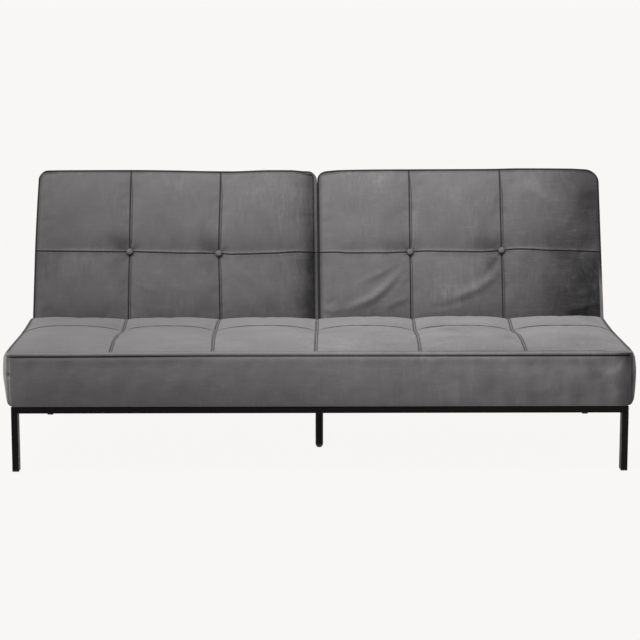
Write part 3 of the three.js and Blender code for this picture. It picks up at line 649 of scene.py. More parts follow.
def seat_cushion_points(columns, rows, places):
    """Where each vertex of the seat's shell lies, the painted shade in its seams and under its welts, and its
    pile tone with painted light and shade.
    """
    half, r, whole_drop = SEAT["half_width"], SEAT["corner"], SEAT_DROPS[-1]
    x, s, drop = spread(columns, rows, SEAT_DROPS, places)
    sign, beside, level = np.sign(x), half - np.abs(x), SEAT["plane"] - drop
    banded, at_side, at_front, at_rear = rims(columns, rows, places)
    in_corner = (beside < r) & (s < r)
    on_side = at_side & ~in_corner

    rise, crease = seat_rise(x, s)
    edge = grown(np.minimum(s, beside), 0, 14)
    shift = seat_cloth().at(x, s) * (edge * grown(drop, 12, 0))[:, None]
    rise = rise + shift[:, 2]

    a, b = rounded(grown(beside, r, 0), grown(s, r, 0))
    tuck = np.where(x > 0, eased(s, *RIGHT_TUCK), eased(s, *LEFT_TUCK))
    tuck = tuck * grown(beside, 100, 0) ** 2 * grown(drop, 64, 8)
    across = np.where(in_corner, sign * (half - r + r * a), x) - sign * tuck
    deep = np.where(in_corner, r - r * b, s)
    out_x, forwards = outward(a, b, sign, in_corner, at_side, at_front)

    # the band: its lip below the piping, its swell and the turn at its foot
    height = 1 - drop / whole_drop
    side_swell = np.where(x > 0, eased(height, *RIGHT_BULGE), eased(height, *LEFT_BULGE))
    side_swell = SEAT["side_bulge"] * eased(s, *SIDE_SWELL) * side_swell
    front_swell = SEAT["front_bulge"] * eased(beside, *FRONT_SWELL) * eased(height, *FRONT_BULGE)
    turn = np.where(at_side | in_corner, 17.0, 8.0)
    foot = np.clip(drop - whole_drop + turn, 0, turn)
    out = eased(drop, *SEAT_LIP) + np.where(on_side, side_swell, front_swell)
    out = out - (turn - np.sqrt(turn**2 - foot**2))
    # below the piping the front corners are rounder
    out = out - np.where(in_corner, 28 * (a * b) ** 2, 0) * grown(drop, 9, 25)
    out = out + np.where(at_front, folds(x, level, BAND_FOLDS), 0)
    round_left = np.where(x < 0, s - beside, 1e3)
    pleat, hollow = fold(round_left, level, *CORNER_PLEAT), fold(round_left, level, *CORNER_HOLLOW)
    out = out - 2.6 * pleat + 1.6 * hollow
    out = out + 0.8 * waver(x + s, drop, 150, 8) * grown(drop, 0, 30) * grown(drop, 170, 150)
    loose = at_front & ~in_corner & (drop > 14)
    band_shift = band_cloth().at(x, whole_drop - drop) * loose[:, None]

    roll = SEAT["rear_roll"]
    rear_out = np.where(at_rear, np.sqrt(roll**2 - (roll - np.clip(drop, 0, roll)) ** 2), 0)
    across = across + np.where(banded, out_x * out, 0) + shift[:, 0] + band_shift[:, 0] + seam_wander(x, s)
    deep = deep + np.where(banded, rear_out - forwards * out, 0) + shift[:, 1] + band_shift[:, 1]
    up = level + rise * grown(drop, 40, 0) + band_shift[:, 2]
    # the front piping hangs a little lower to the left
    up = up - 2.6 * grown(x, -350, -800) * grown(s, 120, 0) * grown(drop, 90, 0)
    up = np.where(drop >= whole_drop - 0.05, SEAT["foot"], up)

    # painted shade below the front piping, on the side welts and in the corner pleat
    under = np.where(
        on_side,
        np.interp(drop, *SIDE_WELT_SHADE) * grown(s, 12, 52),
        eased(x, *PIPING_SHADE) * dent(drop - 9.2, 2.3),
    )
    crease = np.where(banded, np.where(at_rear, 0, np.maximum(under, 0.75 * pleat)), crease)
    # painted light on the left side and on the hollow beneath the corner pleat, painted shade on the right
    # side
    turned = np.where(banded, np.abs(out_x), 0) ** 1.5
    side_pile_and_painted_light = np.where(x > 0, -0.58, 0.1) + 0.05 * waver(s, drop, 90, 36)
    nap = np.where(banded, band_pile_and_painted_light(x, drop), seat_pile_and_painted_light(x, s)) * (1 - turned) + side_pile_and_painted_light * turned
    nap = nap + np.where(banded, 0.3 * hollow, 0)
    return np.stack([across, deep + PIPING_Y, up], axis=1), crease, nap


def make_seat_cushion():
    """The seat's velvet, hollow for its boards and springs and cut away behind for the backs' feet."""
    columns = stations(SEAT_EDGES, 1.5, 10, 13)
    rows = stations([0, SEAT["cross_seam"], SEAT["rear"] - SEAT["rear_roll"]], 1.5, 9, 13)
    bm, places = shell(columns, rows, len(SEAT_DROPS))
    points, crease, nap = seat_cushion_points(columns, rows, places)
    # the nap mark carries the pile's tone with painted light and shade, the other mark painted shade
    piece = finished(bm, "seat_velvet_cushion", points, crease=crease, nap=nap)
    beneath, behind = SEAT["foot"] - 20, PIPING_Y + SEAT["rear"] + 20
    spaces = [
        (SEAT["well_half"], PIPING_Y + SEAT["well_front"], SEAT["well_top"]),
        (SEAT["half_width"] + 135, PIPING_Y + SEAT["step_y"], SEAT["step_top"]),
    ]
    return carved(piece, [block((-far, front, beneath), (far, behind, top)) for far, front, top in spaces])


# Backs, drawn upright about their hinge axis and then leant back


def lean_back():
    """The lean about the hinge axis that brings an upright back to its place."""
    turn = Matrix.Rotation(-HINGE["lean"], 4, "X")
    return Matrix.Translation(Vector((0, HINGE["y"], HINGE["z"])) * MM) @ turn


LEAN = lean_back()

# How far the padding stands out along the panels' middles and along their seams, at heights
BACK_RIDGE = (
    [0, 43, 87, 130, 173, 217, 260, 308, 356, 404, 452, 500, 548.24],
    [0.8, 10, 17.5, 19.5, 18.5, 15, 12, 15.5, 19, 20.5, 19, 13, 3],
)
BACK_VALLEY = (
    [0, 43, 100, 180, 235, 260, 285, 340, 430, 500, 548.24],
    [1, 7, 12.5, 14, 11, 9.5, 11, 14, 13, 9, 2],
)

# Folds in each back's panels: width and height, then points across and up
BACK_FOLDS = {
    "right": [
        (15, 6.0, 282, 198, 262, 176, 232, 137, 186, 98, 128, 74, 66, 55),
        (11, 4.0, 285, 226, 258, 214, 222, 192, 184, 170, 132, 148),
        (10, 3.0, 300, 98, 262, 84, 214, 60),
        (10, -2.5, 285, 176, 240, 126, 196, 84, 150, 58),
        (13, 6.2, 604, 182, 586, 162, 542, 132, 500, 112, 446, 96),
        (13, -4.5, 610, 238, 590, 206, 560, 170),
        (12, -3.2, 520, 92, 430, 70, 350, 64),
        (7, -2.6, 60, 96, 36, 78, 22, 88),
        (8, 2.4, 80, 62, 46, 52, 16, 64),
        (7, 3.6, 940, 84, 890, 64, 836, 54),
        (9, 2.8, 938, 128, 890, 108, 850, 106),
        (14, 1.8, 640, 220, 680, 196, 700, 160),
    ],
    "left": [
        (12, 2.2, -622, 150, -585, 134, -535, 114),
        (13, 1.8, -505, 142, -470, 128, -420, 120),
        (12, -1.5, -600, 86, -540, 74, -470, 78),
        (6, -1.6, -315, 226, -285, 200, -250, 176),
        (13, 1.6, -320, 200, -290, 170, -262, 120),
        (14, 1.8, -350, 225, -385, 190, -400, 150),
        (14, 1.4, -655, 225, -690, 200, -715, 160),
    ],
}
# Rows of stitches: place, depth and width, and how far inside the outline the welt's stitches lie
BACK_CROSS_SEAM = [(0, 3.0, 1.6), (4, -1.3, 3)]
BACK_WELT = 11


def back_ends(hand, outer=0, inner=0):
    """A back's ends across, from left to right, drawn in by so much."""
    sign = -1 if hand == "left" else 1
    return sorted([sign * (BACK["outer"] - outer), sign * (BACK["inner"] + inner)])


def from_edge(x, z, low, high):
    """How far a point of a back lies inside its ends and its top."""
    return np.minimum(np.minimum(x - low, high - x), BACK["top"] - z)


def side_shown(x, z, hand):
    """Where a back's welt turns to the front, so that a strip of its right side shows beyond it."""
    if hand == "left":
        return grown(x, -46, -26)
    return grown(x, BACK["outer"] - 46, BACK["outer"] - 26) * grown(z, 230, 140)


def back_rise(x, z, hand):
    """How far the padded face stands out at a point of a back, and the painted shade of its seams, buttons
    and welt there.
    """
    low, high = back_ends(hand)
    top, seams = BACK["top"], BACK_SEAMS[hand]
    off, outer = panel_off(x, [low, *seams, high])
    ridge, valley = eased(z, *BACK_RIDGE), eased(z, *BACK_VALLEY)
    rise = np.where(outer, ridge * pillow(off, 2.7), valley + (ridge - valley) * pillow(off, 2.4))
    rise = rise + 0.8 * waver(x, z, 130, 5 if hand == "left" else 9) * grown(rise, 0, 10)

    from_cross = z - BACK["cross_seam"]
    # the doubled seams narrow at the buttons and at the top
    apart = 7.0 * (1 - 0.75 * dent(from_cross, 26)) * np.clip((top - z) / 90, 0.12, 1)
    crease = 0.78 * dent(from_cross + 0.4, 1.9)
    for seam in seams:
        away = x - seam
        rise = rise - grooves(away, [(0, 3.2, 1.8), (apart, 1.8, 1.3)])
        around, turn = np.hypot(away, from_cross), np.arctan2(from_cross, away)
        pucker = np.cos(5 * turn + seam) + 0.5 * np.cos(8 * turn - seam)
        rise = rise - BUTTON["dimple"] * dent(around, BUTTON["dimple_reach"])
        rise = rise + 0.55 * pucker * dent(around - 26, 14)
        # painted shade in the seam's grooves and round the button
        crease = np.maximum(crease, darkest(away, [(0, 1, 2.4), (apart, 0.7, 1.6)]))
        crease = np.maximum(crease, 0.9 * dent(around, 14))
    rise = rise - grooves(from_cross, BACK_CROSS_SEAM) + folds(x, z, BACK_FOLDS[hand])

    # the welt along the top and the ends, its outer edge in painted shade, and its stitches where a side
    # shows
    inside = from_edge(x, z, low, high)
    shown = side_shown(x, z, hand)
    rise = rise - 0.8 * dent(inside - BACK_WELT, 1.6) - 1.4 * shown * dent(inside - BACK_WELT - 1.5, 2.0)
    crease = np.maximum(crease, 0.25 * dent(inside - BACK_WELT, 1.8))
    crease = np.maximum(crease, 0.95 * grown(inside, 7.48, 4.08))
    crease = crease * (1 - shown * (inside < 9)) + 0.9 * shown * dent(inside - BACK_WELT - 1.5, 1.9)
    return rise, np.clip(crease, 0, 1)


# Painted light and shade on each back's pile at places across
BACK_PAINTED_LIGHT_ACROSS = {
    "left": (
        [-961, -935, -880, -800, -640, -500, -340, -120, -62, -25, -14, 0],
        [-0.3, -0.31, -0.24, -0.18, -0.1, -0.02, 0.01, -0.03, -0.15, -0.48, -0.52, 0.12],
    ),
    "right": (
        [0, 6, 22, 311, 560, 640, 740, 800, 870, 950, 961],
        [-0.3, -0.2, 0.12, 0.14, 0.04, -0.04, -0.14, -0.3, -0.47, -0.55, -0.3],
    ),
}
# How the painted shade changes below the cross seam
BACK_PAINTED_SHADE_BELOW = {
    "left": ([-961, -600, -500, -340, -300, -200, -60, 0], [0, 0, -0.05, -0.07, 0, -0.05, -0.08, 0]),
    "right": ([0, 200, 290, 320, 500, 600, 700, 961], [0, -0.03, -0.09, 0, -0.02, -0.09, -0.09, 0]),
}
# Strokes of painted light and shade in each back's pile: width and change, then points across and up
BACK_PAINTED_LIGHT_STROKES = {
    "right": [
        (50, 0.05, 20, 470, 60, 440, 90, 380),
        (60, 0.06, 400, 500, 470, 480, 540, 440),
        (40, 0.07, 640, 500, 700, 490, 790, 500),
        (10, -0.09, 330, 275, 450, 268, 600, 275),
        (9, -0.09, 330, 247, 450, 250, 600, 245),
        (22, -0.05, 40, 52, 160, 40, 290, 44),
        (26, -0.07, 340, 40, 470, 50, 600, 40),
        (12, 0.2, 284, 200, 223, 146, 172, 102, 100, 70, 50, 50),
        (15, -0.13, 304, 243, 257, 222, 206, 187, 147, 135),
        (16, 0.07, 120, 148, 80, 140, 40, 96),
        (22, -0.27, 318, 280, 270, 281, 215, 296),
        (26, -0.36, 628, 282, 582, 284, 520, 304),
        (20, -0.2, 622, 240, 592, 222, 560, 190),
        (13, 0.2, 584, 180, 520, 146, 452, 116),
        (30, 0.07, 500, 262, 470, 222, 440, 160),
        (20, 0.09, 680, 228, 662, 214, 640, 170),
        (45, 0.06, 700, 480, 745, 470, 790, 440),
        (26, -0.08, 720, 318, 760, 310, 820, 300),
        (16, -0.05, 620, 300, 640, 360, 630, 430),
        (22, -0.15, 940, 60, 880, 48, 800, 40),
        (70, -0.12, 660, 130, 780, 110, 900, 120),
    ],
    "left": [
        (24, -0.3, -632, 282, -668, 290, -720, 314),
        (18, -0.16, -634, 240, -668, 232, -705, 210),
        (25, -0.3, -330, 278, -368, 286, -420, 310),
        (20, -0.19, -332, 240, -362, 222, -390, 184),
        (18, 0.06, -600, 214, -540, 190, -480, 160),
        (22, -0.05, -590, 120, -540, 100, -470, 96),
        (8, 0.07, -312, 222, -250, 196, -188, 148),
        (14, -0.07, -316, 200, -262, 176, -200, 128),
        (34, -0.12, -100, 160, -70, 110, -50, 50),
        (16, 0.05, -445, 380, -440, 340, -442, 300),
        (40, 0.05, -250, 450, -180, 430, -120, 440),
    ],
}


def back_pile_and_painted_light(x, z, hand):
    """A back's pile tone with painted light and shade, from darker to lighter."""
    below, outer = BACK["cross_seam"] - z, BACK["outer"]
    nap = eased(x, *BACK_PAINTED_LIGHT_ACROSS[hand]) + 0.05 * waver(x, z, 330, 41) + 0.05 * waver(x, z, 110, 42)
    # painted shade below the cross seam, painted light above it
    nap = nap - (0.09 + 0.09 * grown(below, 110, 0)) * grown(below, 0, 4) + 0.05 * grown(below, -30, -80)
    nap = nap + eased(x, *BACK_PAINTED_SHADE_BELOW[hand]) * grown(below, 0, 30)
    if hand == "right":
        # painted shade darkens the right end downwards, and painted light brightens the strip beyond its welt
        nap = nap - 0.1 * grown(x, 740, 930) * grown(below, 0, 60)
        nap = nap - 0.13 * grown(x, 760, 890) * grown(below, 0, -50)
        nap = nap + 0.75 * side_shown(x, z, hand) * grown(x, outer - 13, outer - 10)
    else:
        # painted shade at the left back's inner end, beside the split
        inner_end = grown(x, -95, -35) * grown(x, -12, -16)
        nap = nap - inner_end * (0.09 + 0.11 * grown(below, -60, 200))
    return nap + folds(x, z, BACK_PAINTED_LIGHT_STROKES[hand])


# How far the face's outermost lines lie inside a back's outer and inner end
BACK_RIM = (1.5, 2.2)


def back_cloth(hand):
    """A back's face, seen from the front: across, forwards and up."""
    low, high = back_ends(hand, *BACK_RIM)
    return Settled(
        [low, *BACK_SEAMS[hand], high],
        [0.0, BACK["cross_seam"], BACK["top"]],
        12.0,
        lambda x, z: (x, -back_rise(x, z, hand)[0], z),
        slack=0.007, puff=1.5, cap=7.0,
    )


# How far rearwards each ring of a back's sides lies, and how far their lip stands out there
BACK_DEPTHS = [0.6, 1.5, 2.7, 4, 5.2, 6.1, 6.9, 7.8, 9, 11, 14.5, 20, 28, 38, 50, 62, 74, 86, 98, 110]
BACK_DEPTHS += [121, 130, 137, 141.5, 144, 145.7, 146.7]
BACK_LIP = (
    [0, *BACK_DEPTHS[:11], 60],
    [0, 1.2, 2.2, 2.8, 2.7, 1.6, 0.2, -1.2, -1.5, -0.8, 0.2, 0.6, 0],
)
# Where the lip ends, how round the sides' rear edge is, and how long the face's turn under its foot
BACK_LIP_END = 9.0
BACK_REAR_ROUND = 5.0
NOSE = HINGE["drop"] * math.pi / 2
# How deep the painted shade is on the welt, the near part of the sides and the sides at the split, at places
# rearwards
BACK_WELT_SHADE = ([0, 1, 5, 8, 10, 14], [0.97, 0.97, 0.85, 0.9, 0.5, 0])
SPLIT_SHADE = {
    "left": ([0, 2, 5, 12, 30, 60], [0.0, 0.25, 0.8, 0.9, 0.5, 0.1]),
    "right": ([0, 12, 30, 60], [0.95, 0.9, 0.5, 0.1]),
}


def side_shade(behind, z, hand, at_side, inner_side):
    """The painted shade on a back's welt and sides."""
    under = np.interp(behind, *BACK_WELT_SHADE)
    if hand == "right":
        under = under * (1 - 0.9 * (at_side & ~inner_side) * grown(z, 230, 140))
    return np.where(inner_side, np.interp(behind, *SPLIT_SHADE[hand]), under)


def back_cushion_points(columns, rows, places, hand):
    """Where each vertex of a back's shell lies, upright, the painted shade of its seams and welts, and its
    pile tone with painted light and shade.
    """
    drop, low, high = HINGE["drop"], columns[0], columns[-1]
    x, t, depth = spread(columns, rows, BACK_DEPTHS, places)
    z = t - NOSE
    above = np.maximum(z, 0)
    banded, at_side, at_foot, at_top = rims(columns, rows, places)
    inner_side = at_side & (np.abs(x) < BACK["outer"] / 2)

    rise, crease = back_rise(x, above, hand)
    edge = grown(from_edge(x, z, low, high), 0, 16)
    shift = back_cloth(hand).at(x, above) * (edge * (z > 0) * ~banded)[:, None]
    rise = rise - shift[:, 1]
    across, up, a, b, sign, in_corner, _ = back_corners(x, z, low, high)
    across = across + dent(x - BACK_SEAMS["left"][1], 90) * eased(z, *SECOND_SEAM_LEAN)
    up = up + cross_line(x, z)

    # at its foot the face turns rearwards over a nose round the hinge axis
    round_nose = np.clip(t / drop, 0, math.pi / 2)
    nosed = t < NOSE
    face_y = np.where(nosed, -drop * np.sin(round_nose), -drop)
    face_z = np.where(nosed, -drop * np.cos(round_nose), up)
    swell = rise * grown(t, 0, NOSE) ** 2
    front_y = face_y - swell * np.where(nosed, np.sin(round_nose), 1)
    front_z = face_z - np.where(nosed, swell * np.cos(round_nose), 0)

    # the sides and the top: their lip beside the welt, their bulge and the round at the rear
    lip, rounding = BACK_LIP_END, BACK_REAR_ROUND
    reach = BACK["rear"] - face_y
    far = lip + np.clip(depth - lip, 0, None) / (BACK_DEPTHS[-1] - lip) * (reach - lip)
    behind = np.where(depth > lip, far, depth)
    bulge = np.where(inner_side & ~in_corner, 3.5, np.where(at_top | in_corner, 4.0, 0.9))
    bulge = bulge * (1 - np.abs(2 * behind / reach - 1) ** 2.5)
    rim = np.clip(behind - reach + rounding, 0, rounding)
    out = eased(behind, *BACK_LIP) + bulge - (rounding - np.sqrt(rounding**2 - rim**2))
    out = out + np.where(inner_side, 0.05, 0.5) * waver(z + x, behind, 90, 12) * grown(behind, 0, 25)
    out_x, out_z = outward(a, b, sign, in_corner, at_side, at_top)
    point_x = across + np.where(banded, out_x * out, 0) + shift[:, 0]
    point_y = np.where(banded, face_y + behind, front_y)
    point_z = np.where(banded, face_z + out_z * out, front_z) + shift[:, 2]

    # painted shade on the welt and the sides, none on the foot
    under = np.where(at_foot, 0, side_shade(behind, z, hand, at_side, inner_side))
    crease = np.where(banded, under, crease)
    # the pile tone and the painted light and shade of the ends go only a little way round onto the sides
    round_side = grown(behind, 6, 36) * banded
    side_pile_and_painted_light = 0.08 * waver(z + x, behind, 160, 43) - 0.05
    nap = back_pile_and_painted_light(x, z, hand) * (1 - round_side) + side_pile_and_painted_light * round_side
    return np.stack([point_x, point_y, point_z], axis=1), crease, nap


def notches(low, high, front, foot, rear):
    """The spaces at both ends of a back's foot, where its hinge fittings lie."""
    step, top = BACK["notch"], BACK["notch_top"]
    return [
        block((low - 20, front, foot), (low + step, rear, top), LEAN),
        block((high - step, front, foot), (high + 20, rear, top), LEAN),
    ]


def back_cutters(hand):
    """The spaces for the frame, the springs and the hinge fittings, as in the model."""
    low, high = back_ends(hand)
    skirt, step, front = BACK["skirt"], BACK["notch"], BACK["well_front"]
    rear, foot = BACK["rear"] + 20, BACK["well_foot"]
    return [
        block((low + skirt, front, foot), (high - skirt, rear, BACK["top"] - skirt), LEAN),
        *notches(low, high, -60, -60, rear),
        block((low + skirt, front, 0), (low + step, rear, foot + 1), LEAN),
        block((high - step, front, 0), (high - skirt, rear, foot + 1), LEAN),
    ]


def leant(points):
    """Points of a back's own frame, leant back about the hinge, still in millimetres."""
    turn = np.array(LEAN.to_3x3())
    return points @ turn.T + np.array(LEAN.translation) / MM


def make_back_cushion(hand):
    """A back's velvet, round its face, sides, top and foot, hollow for its frame and springs."""
    low, high = back_ends(hand, *BACK_RIM)
    columns = stations([low, *BACK_SEAMS[hand], high], 1.3, 6.5, 12)
    rows = stations([0, NOSE + BACK["cross_seam"], NOSE + BACK["top"]], 1.3, 6.5, 12)
    bm, places = shell(columns, rows, len(BACK_DEPTHS))
    points, crease, nap = back_cushion_points(columns, rows, places, hand)
    # the nap mark carries the pile's tone with painted light and shade, the other mark painted shade
    piece = finished(bm, f"{hand}_back_velvet_cushion", leant(points), crease=crease, nap=nap)
    return carved(piece, back_cutters(hand))


# How far out each ring of a rear cover's rim counts, beyond its outline
COVER_DEPTHS = [0.5, 1.2, 2.0, 2.9]


def make_rear_cover(hand):
    """The velvet panel on a back's rear: drawn to the same outline, with a stitched border."""
    low, high = back_ends(hand, 0.5, 0.6)
    foot = -HINGE["drop"]
    columns = stations([low, (low + high) / 2, high], 2, 14, 14)
    rows = stations([foot, BACK["top"]], 2, 14, 14)
    bm, places = shell(columns, rows, len(COVER_DEPTHS))
    x, z, depth = spread(columns, rows, COVER_DEPTHS, places)
    banded = places[:, 2] > 0
    across, up, a, b, _, in_corner, r = back_corners(x, z, low, high)
    inside = np.minimum(from_edge(x, z, low, high), z - foot)
    inside = np.where(in_corner, np.minimum(inside, r - r * np.hypot(a, b)), inside)
    middle = grown(inside, 0, 60)
    crown = 3.2 * middle * (2 - middle) + 0.9 * waver(x, z, 210, 21 if hand == "left" else 22) * middle
    crown = crown - dent(inside - BACK_WELT, 1.8) - 1.6 * (1 - np.sqrt(1 - grown(inside, 2.5, 0) ** 2))
    point_y = BACK["rear_face"] + np.where(banded, -1.6 - depth * 0.45, crown)
    # painted shade round the rim and along the welt's stitches
    crease = np.where(banded, 0.5, 0.6 * dent(inside - BACK_WELT, 2.2))
    nap = 0.06 * waver(x, z, 330, 51) + 0.05 * waver(x, z, 120, 52)
    points = leant(np.stack([across, point_y, up], axis=1))
    piece = finished(bm, f"{hand}_back_velvet_cover", points, crease=crease, nap=nap)
    return carved(piece, notches(low, high, 60, foot - 20, 160))


# Shares of the button's radius and height, from its rear over its rim to its front
BUTTON_PROFILE = [(0, 0.0), (0.62, 0.0), (0.86, 0.1), (0.97, 0.26), (1, 0.42), (0.97, 0.58), (0.88, 0.74)]
BUTTON_PROFILE += [(0.74, 0.86), (0.55, 0.94), (0.3, 0.985), (0, 1.0)]


def make_button(hand, number, x):
    """A covered button, its cloth drawn in folds over the rim."""
    radius = BUTTON["radius"]
    bm = bmesh.new()
    profile = [(share * radius, -rise * BUTTON["high"]) for share, rise in BUTTON_PROFILE]
    spun(bm, profile, (0, 0, 0), BUTTON["steps"])
    crease = bm.verts.layers.float.new("crease")
    for vert in bm.verts:
        out = math.hypot(vert.co.x, vert.co.z) / (radius * MM)
        around = math.atan2(vert.co.z, vert.co.x)
        gather = 1 + 0.018 * math.cos(12 * around) * grown(abs(out - 0.95), 0.25, 0)
        # painted shade on the button's rim
        vert[crease] = 0.8 * grown(out, 0.78, 0.98)
        vert.co.x, vert.co.z = vert.co.x * gather, vert.co.z * gather
    height = BACK["cross_seam"] + float(cross_line(x, BACK["cross_seam"]))
    place = LEAN @ Matrix.Translation(Vector((x, BUTTON["seat"] + 1.5, height)) * MM)
    bmesh.ops.transform(bm, matrix=place, verts=bm.verts)
    return placed(bm, f"{hand}_back_velvet_button_{number}")


# Finishes


class Wired:
    """A node's output, whose arithmetic adds Math nodes."""

    def __init__(self, finish, socket):
        self.finish, self.socket = finish, socket

    def maths(self, operation, *values):
        return self.finish.node("ShaderNodeMath", {"operation": operation}, dict(enumerate(values)))

    def __add__(self, other):
        return self.maths("ADD", self, other)

    def __sub__(self, other):
        return self.maths("SUBTRACT", self, other)

    def __rsub__(self, other):
        return self.maths("SUBTRACT", other, self)

    def __mul__(self, other):
        return self.maths("MULTIPLY", self, other)

    __radd__, __rmul__ = __add__, __mul__


def opaque(value):
    """A colour with its alpha, and any other value as it is."""
    return (*value, 1) if isinstance(value, tuple) and len(value) == 3 else value


class Finish:
    """A material, or the world, built node by node."""

    def __init__(self, block):
        self.block = block
        block.use_nodes = True
        self.tree = block.node_tree
        self.tree.nodes.clear()

    def node(self, kind, settings=None, sockets=None, output=0):
        """A new node's output, the node's settings made first and then its sockets filled or linked."""
        made = self.tree.nodes.new(kind)
        for key, value in (settings or {}).items():
            if key == "stops":
                ramp = made.color_ramp
                while len(ramp.elements) < len(value):
                    ramp.elements.new(0.5)
                for element, (place, level) in zip(ramp.elements, value):
                    element.position, element.color = place, (level, level, level, 1)
            else:
                setattr(made, key, value)
        for key, value in (sockets or {}).items():
            if isinstance(value, Wired):
                self.tree.links.new(value.socket, made.inputs[key])
            else:
                made.inputs[key].default_value = value
        return Wired(self, made.outputs[output]) if made.outputs else None

    def where(self, size=(1, 1, 1)):
        """Object coordinates, stretched by size."""
        point = self.node("ShaderNodeTexCoord", output=3)
        return self.node("ShaderNodeMapping", sockets={0: point, "Scale": size})

    def mark(self, name):
        """A value that a piece's vertices carry."""
        return self.node("ShaderNodeAttribute", {"attribute_name": name}, output=2)

    def noise(self, scale, detail, rough, size=(1, 1, 1), warp=0.0):
        sockets = {"Vector": self.where(size), "Scale": scale, "Detail": detail}
        return self.node("ShaderNodeTexNoise", sockets={**sockets, "Roughness": rough, "Distortion": warp})

    def ramp(self, value, *stops):
        return self.node("ShaderNodeValToRGB", {"stops": stops}, {0: value})

    def blend(self, share, first, second):
        colours = {0: share, 6: opaque(first), 7: opaque(second)}
        return self.node("ShaderNodeMix", {"data_type": "RGBA"}, colours, output=2)

    def bump(self, height, distance, strength, under=None):
        sockets = {"Height": height, "Distance": distance, "Strength": strength}
        if under is not None:
            sockets["Normal"] = under
        return self.node("ShaderNodeBump", sockets=sockets)

    def done(self, **sockets):
        """Closes the material with a Principled shader, its sockets named with _ for a space."""
        named = {key.replace("_", " "): opaque(value) for key, value in sockets.items()}
        shader = self.node("ShaderNodeBsdfPrincipled", sockets=named)
        self.node("ShaderNodeOutputMaterial", sockets={"Surface": shader})
        return self.block


def finish(name):
    """A new material with nothing in it yet."""
    return Finish(bpy.data.materials.new(name))


# The velvet's darkest and lightest tone, and the painted shade colour of its seams, creases and welts
PILE = {"dark": (0.0090, 0.0081, 0.0088), "light": (0.252, 0.241, 0.245), "seam": (0.009, 0.0085, 0.009)}
# The pile's own level, and what smudges and strokes add on average, taken off where their number changes
PILE_LEVEL, SMUDGED, STROKED = 0.47, 0.08, 0.045
# How often smudges and strokes come, from the left end to the right one
SMUDGES_OFTEN = ((0, 0.3), (0.3, 0.42), (0.62, 0.8), (1, 1))
STROKES_OFTEN = ((0, 0.3), (0.3, 0.42), (0.6, 0.85), (0.74, 0.85), (0.84, 0.4), (1, 0.34))


def velvet(name, streak, across, smudge, stroked):
    """Short-pile grey velvet. The stretches turn the marks that hands leave in the pile."""
    cloth = finish(name)
    broad = cloth.noise(2.8, 2, 0.5, warp=0.5)
    patches = cloth.noise(10, 4, 0.62, smudge, warp=0.9)
    brushed = cloth.ramp(cloth.noise(4.5, 2, 0.5), (0.48, 0), (0.66, 1))
    marks = cloth.ramp(cloth.noise(26, 4, 0.6, streak, warp=0.3), (0.46, 0), (0.7, 1)) * brushed
    strokes = cloth.ramp(cloth.noise(50, 2, 0.5, streak, warp=0.1), (0.5, 0), (0.78, 1)) * brushed
    crossed = cloth.ramp(cloth.noise(48, 3, 0.55, across, warp=0.15), (0.54, 0), (0.74, 1)) * patches
    fine = cloth.noise(90, 3, 0.6, streak)
    nap = cloth.noise(1500, 2, 0.7)
    share = cloth.node("ShaderNodeSeparateXYZ", sockets={0: cloth.where()}) * 0.5 + 0.5
    smudges = (patches * 0.15 + crossed * 0.13 - SMUDGED) * (cloth.ramp(share, *SMUDGES_OFTEN) * 1.7)
    brushing = marks * 0.1 + strokes * stroked + fine * 0.08 - STROKED
    busy = smudges + brushing * (cloth.ramp(share, *STROKES_OFTEN) * 1.7)
    tone_and_painted_light = broad * 0.15 + patches * 0.1 + busy + fine * 0.03 + nap * 0.1
    # the nap mark adds painted light and shade to the pile's own tone
    tone_and_painted_light = tone_and_painted_light + cloth.mark("nap") * 0.7 + PILE_LEVEL
    pile = cloth.blend(tone_and_painted_light, PILE["dark"], PILE["light"])
    # the second mark paints shade into the seams, creases, welts and button rims
    pile = cloth.blend(cloth.mark("crease") * 0.96, pile, PILE["seam"])
    soft = cloth.bump(nap, 0.0005, 0.35)
    return cloth.done(
        Base_Color=pile,
        Roughness=0.96 - nap * 0.1,
        Specular_IOR_Level=0.2,
        Sheen_Weight=0.25,
        Sheen_Roughness=0.45,
        Sheen_Tint=(0.95, 0.94, 0.96),
        Normal=cloth.bump(fine + patches * 0.5, 0.0011, 0.4, soft),
    )


def powder_coat():
    coat = finish("black_powder_coat")
    peel = coat.noise(420, 3, 0.6)
    dust = coat.ramp(coat.noise(9, 5, 0.7), (0.45, 0), (0.8, 1))
    speck = coat.ramp(coat.noise(1900, 1, 0.5), (0.62, 0), (0.7, 1))
    colour = coat.blend(dust * 0.5 + speck * 0.25, (0.0028, 0.0027, 0.0028), (0.011, 0.0108, 0.011))
    skin = coat.bump(peel, 0.0002, 0.3)
    return coat.done(Base_Color=colour, Roughness=0.46 + dust * 0.14, Specular_IOR_Level=0.13, Normal=skin)


def zinc():
    plate = finish("zinc_plate")
    spangle = plate.noise(60, 4, 0.7, warp=1.5)
    rub = plate.noise(900, 2, 0.5, (1, 0.15, 1))
    colour = plate.blend(plate.ramp(spangle, (0.3, 0), (0.7, 1)), (0.24, 0.245, 0.25), (0.44, 0.44, 0.43))
    skin = plate.bump(rub, 0.0001, 0.3)
    return plate.done(Base_Color=colour, Metallic=1.0, Roughness=0.30 + rub * 0.18, Normal=skin)


def spring_steel():
    steel = finish("oiled_spring_steel")
    film = steel.noise(40, 4, 0.6)
    colour = steel.blend(film, (0.06, 0.062, 0.066), (0.19, 0.19, 0.195))
    return steel.done(Base_Color=colour, Metallic=1.0, Roughness=0.32 + film * 0.2)


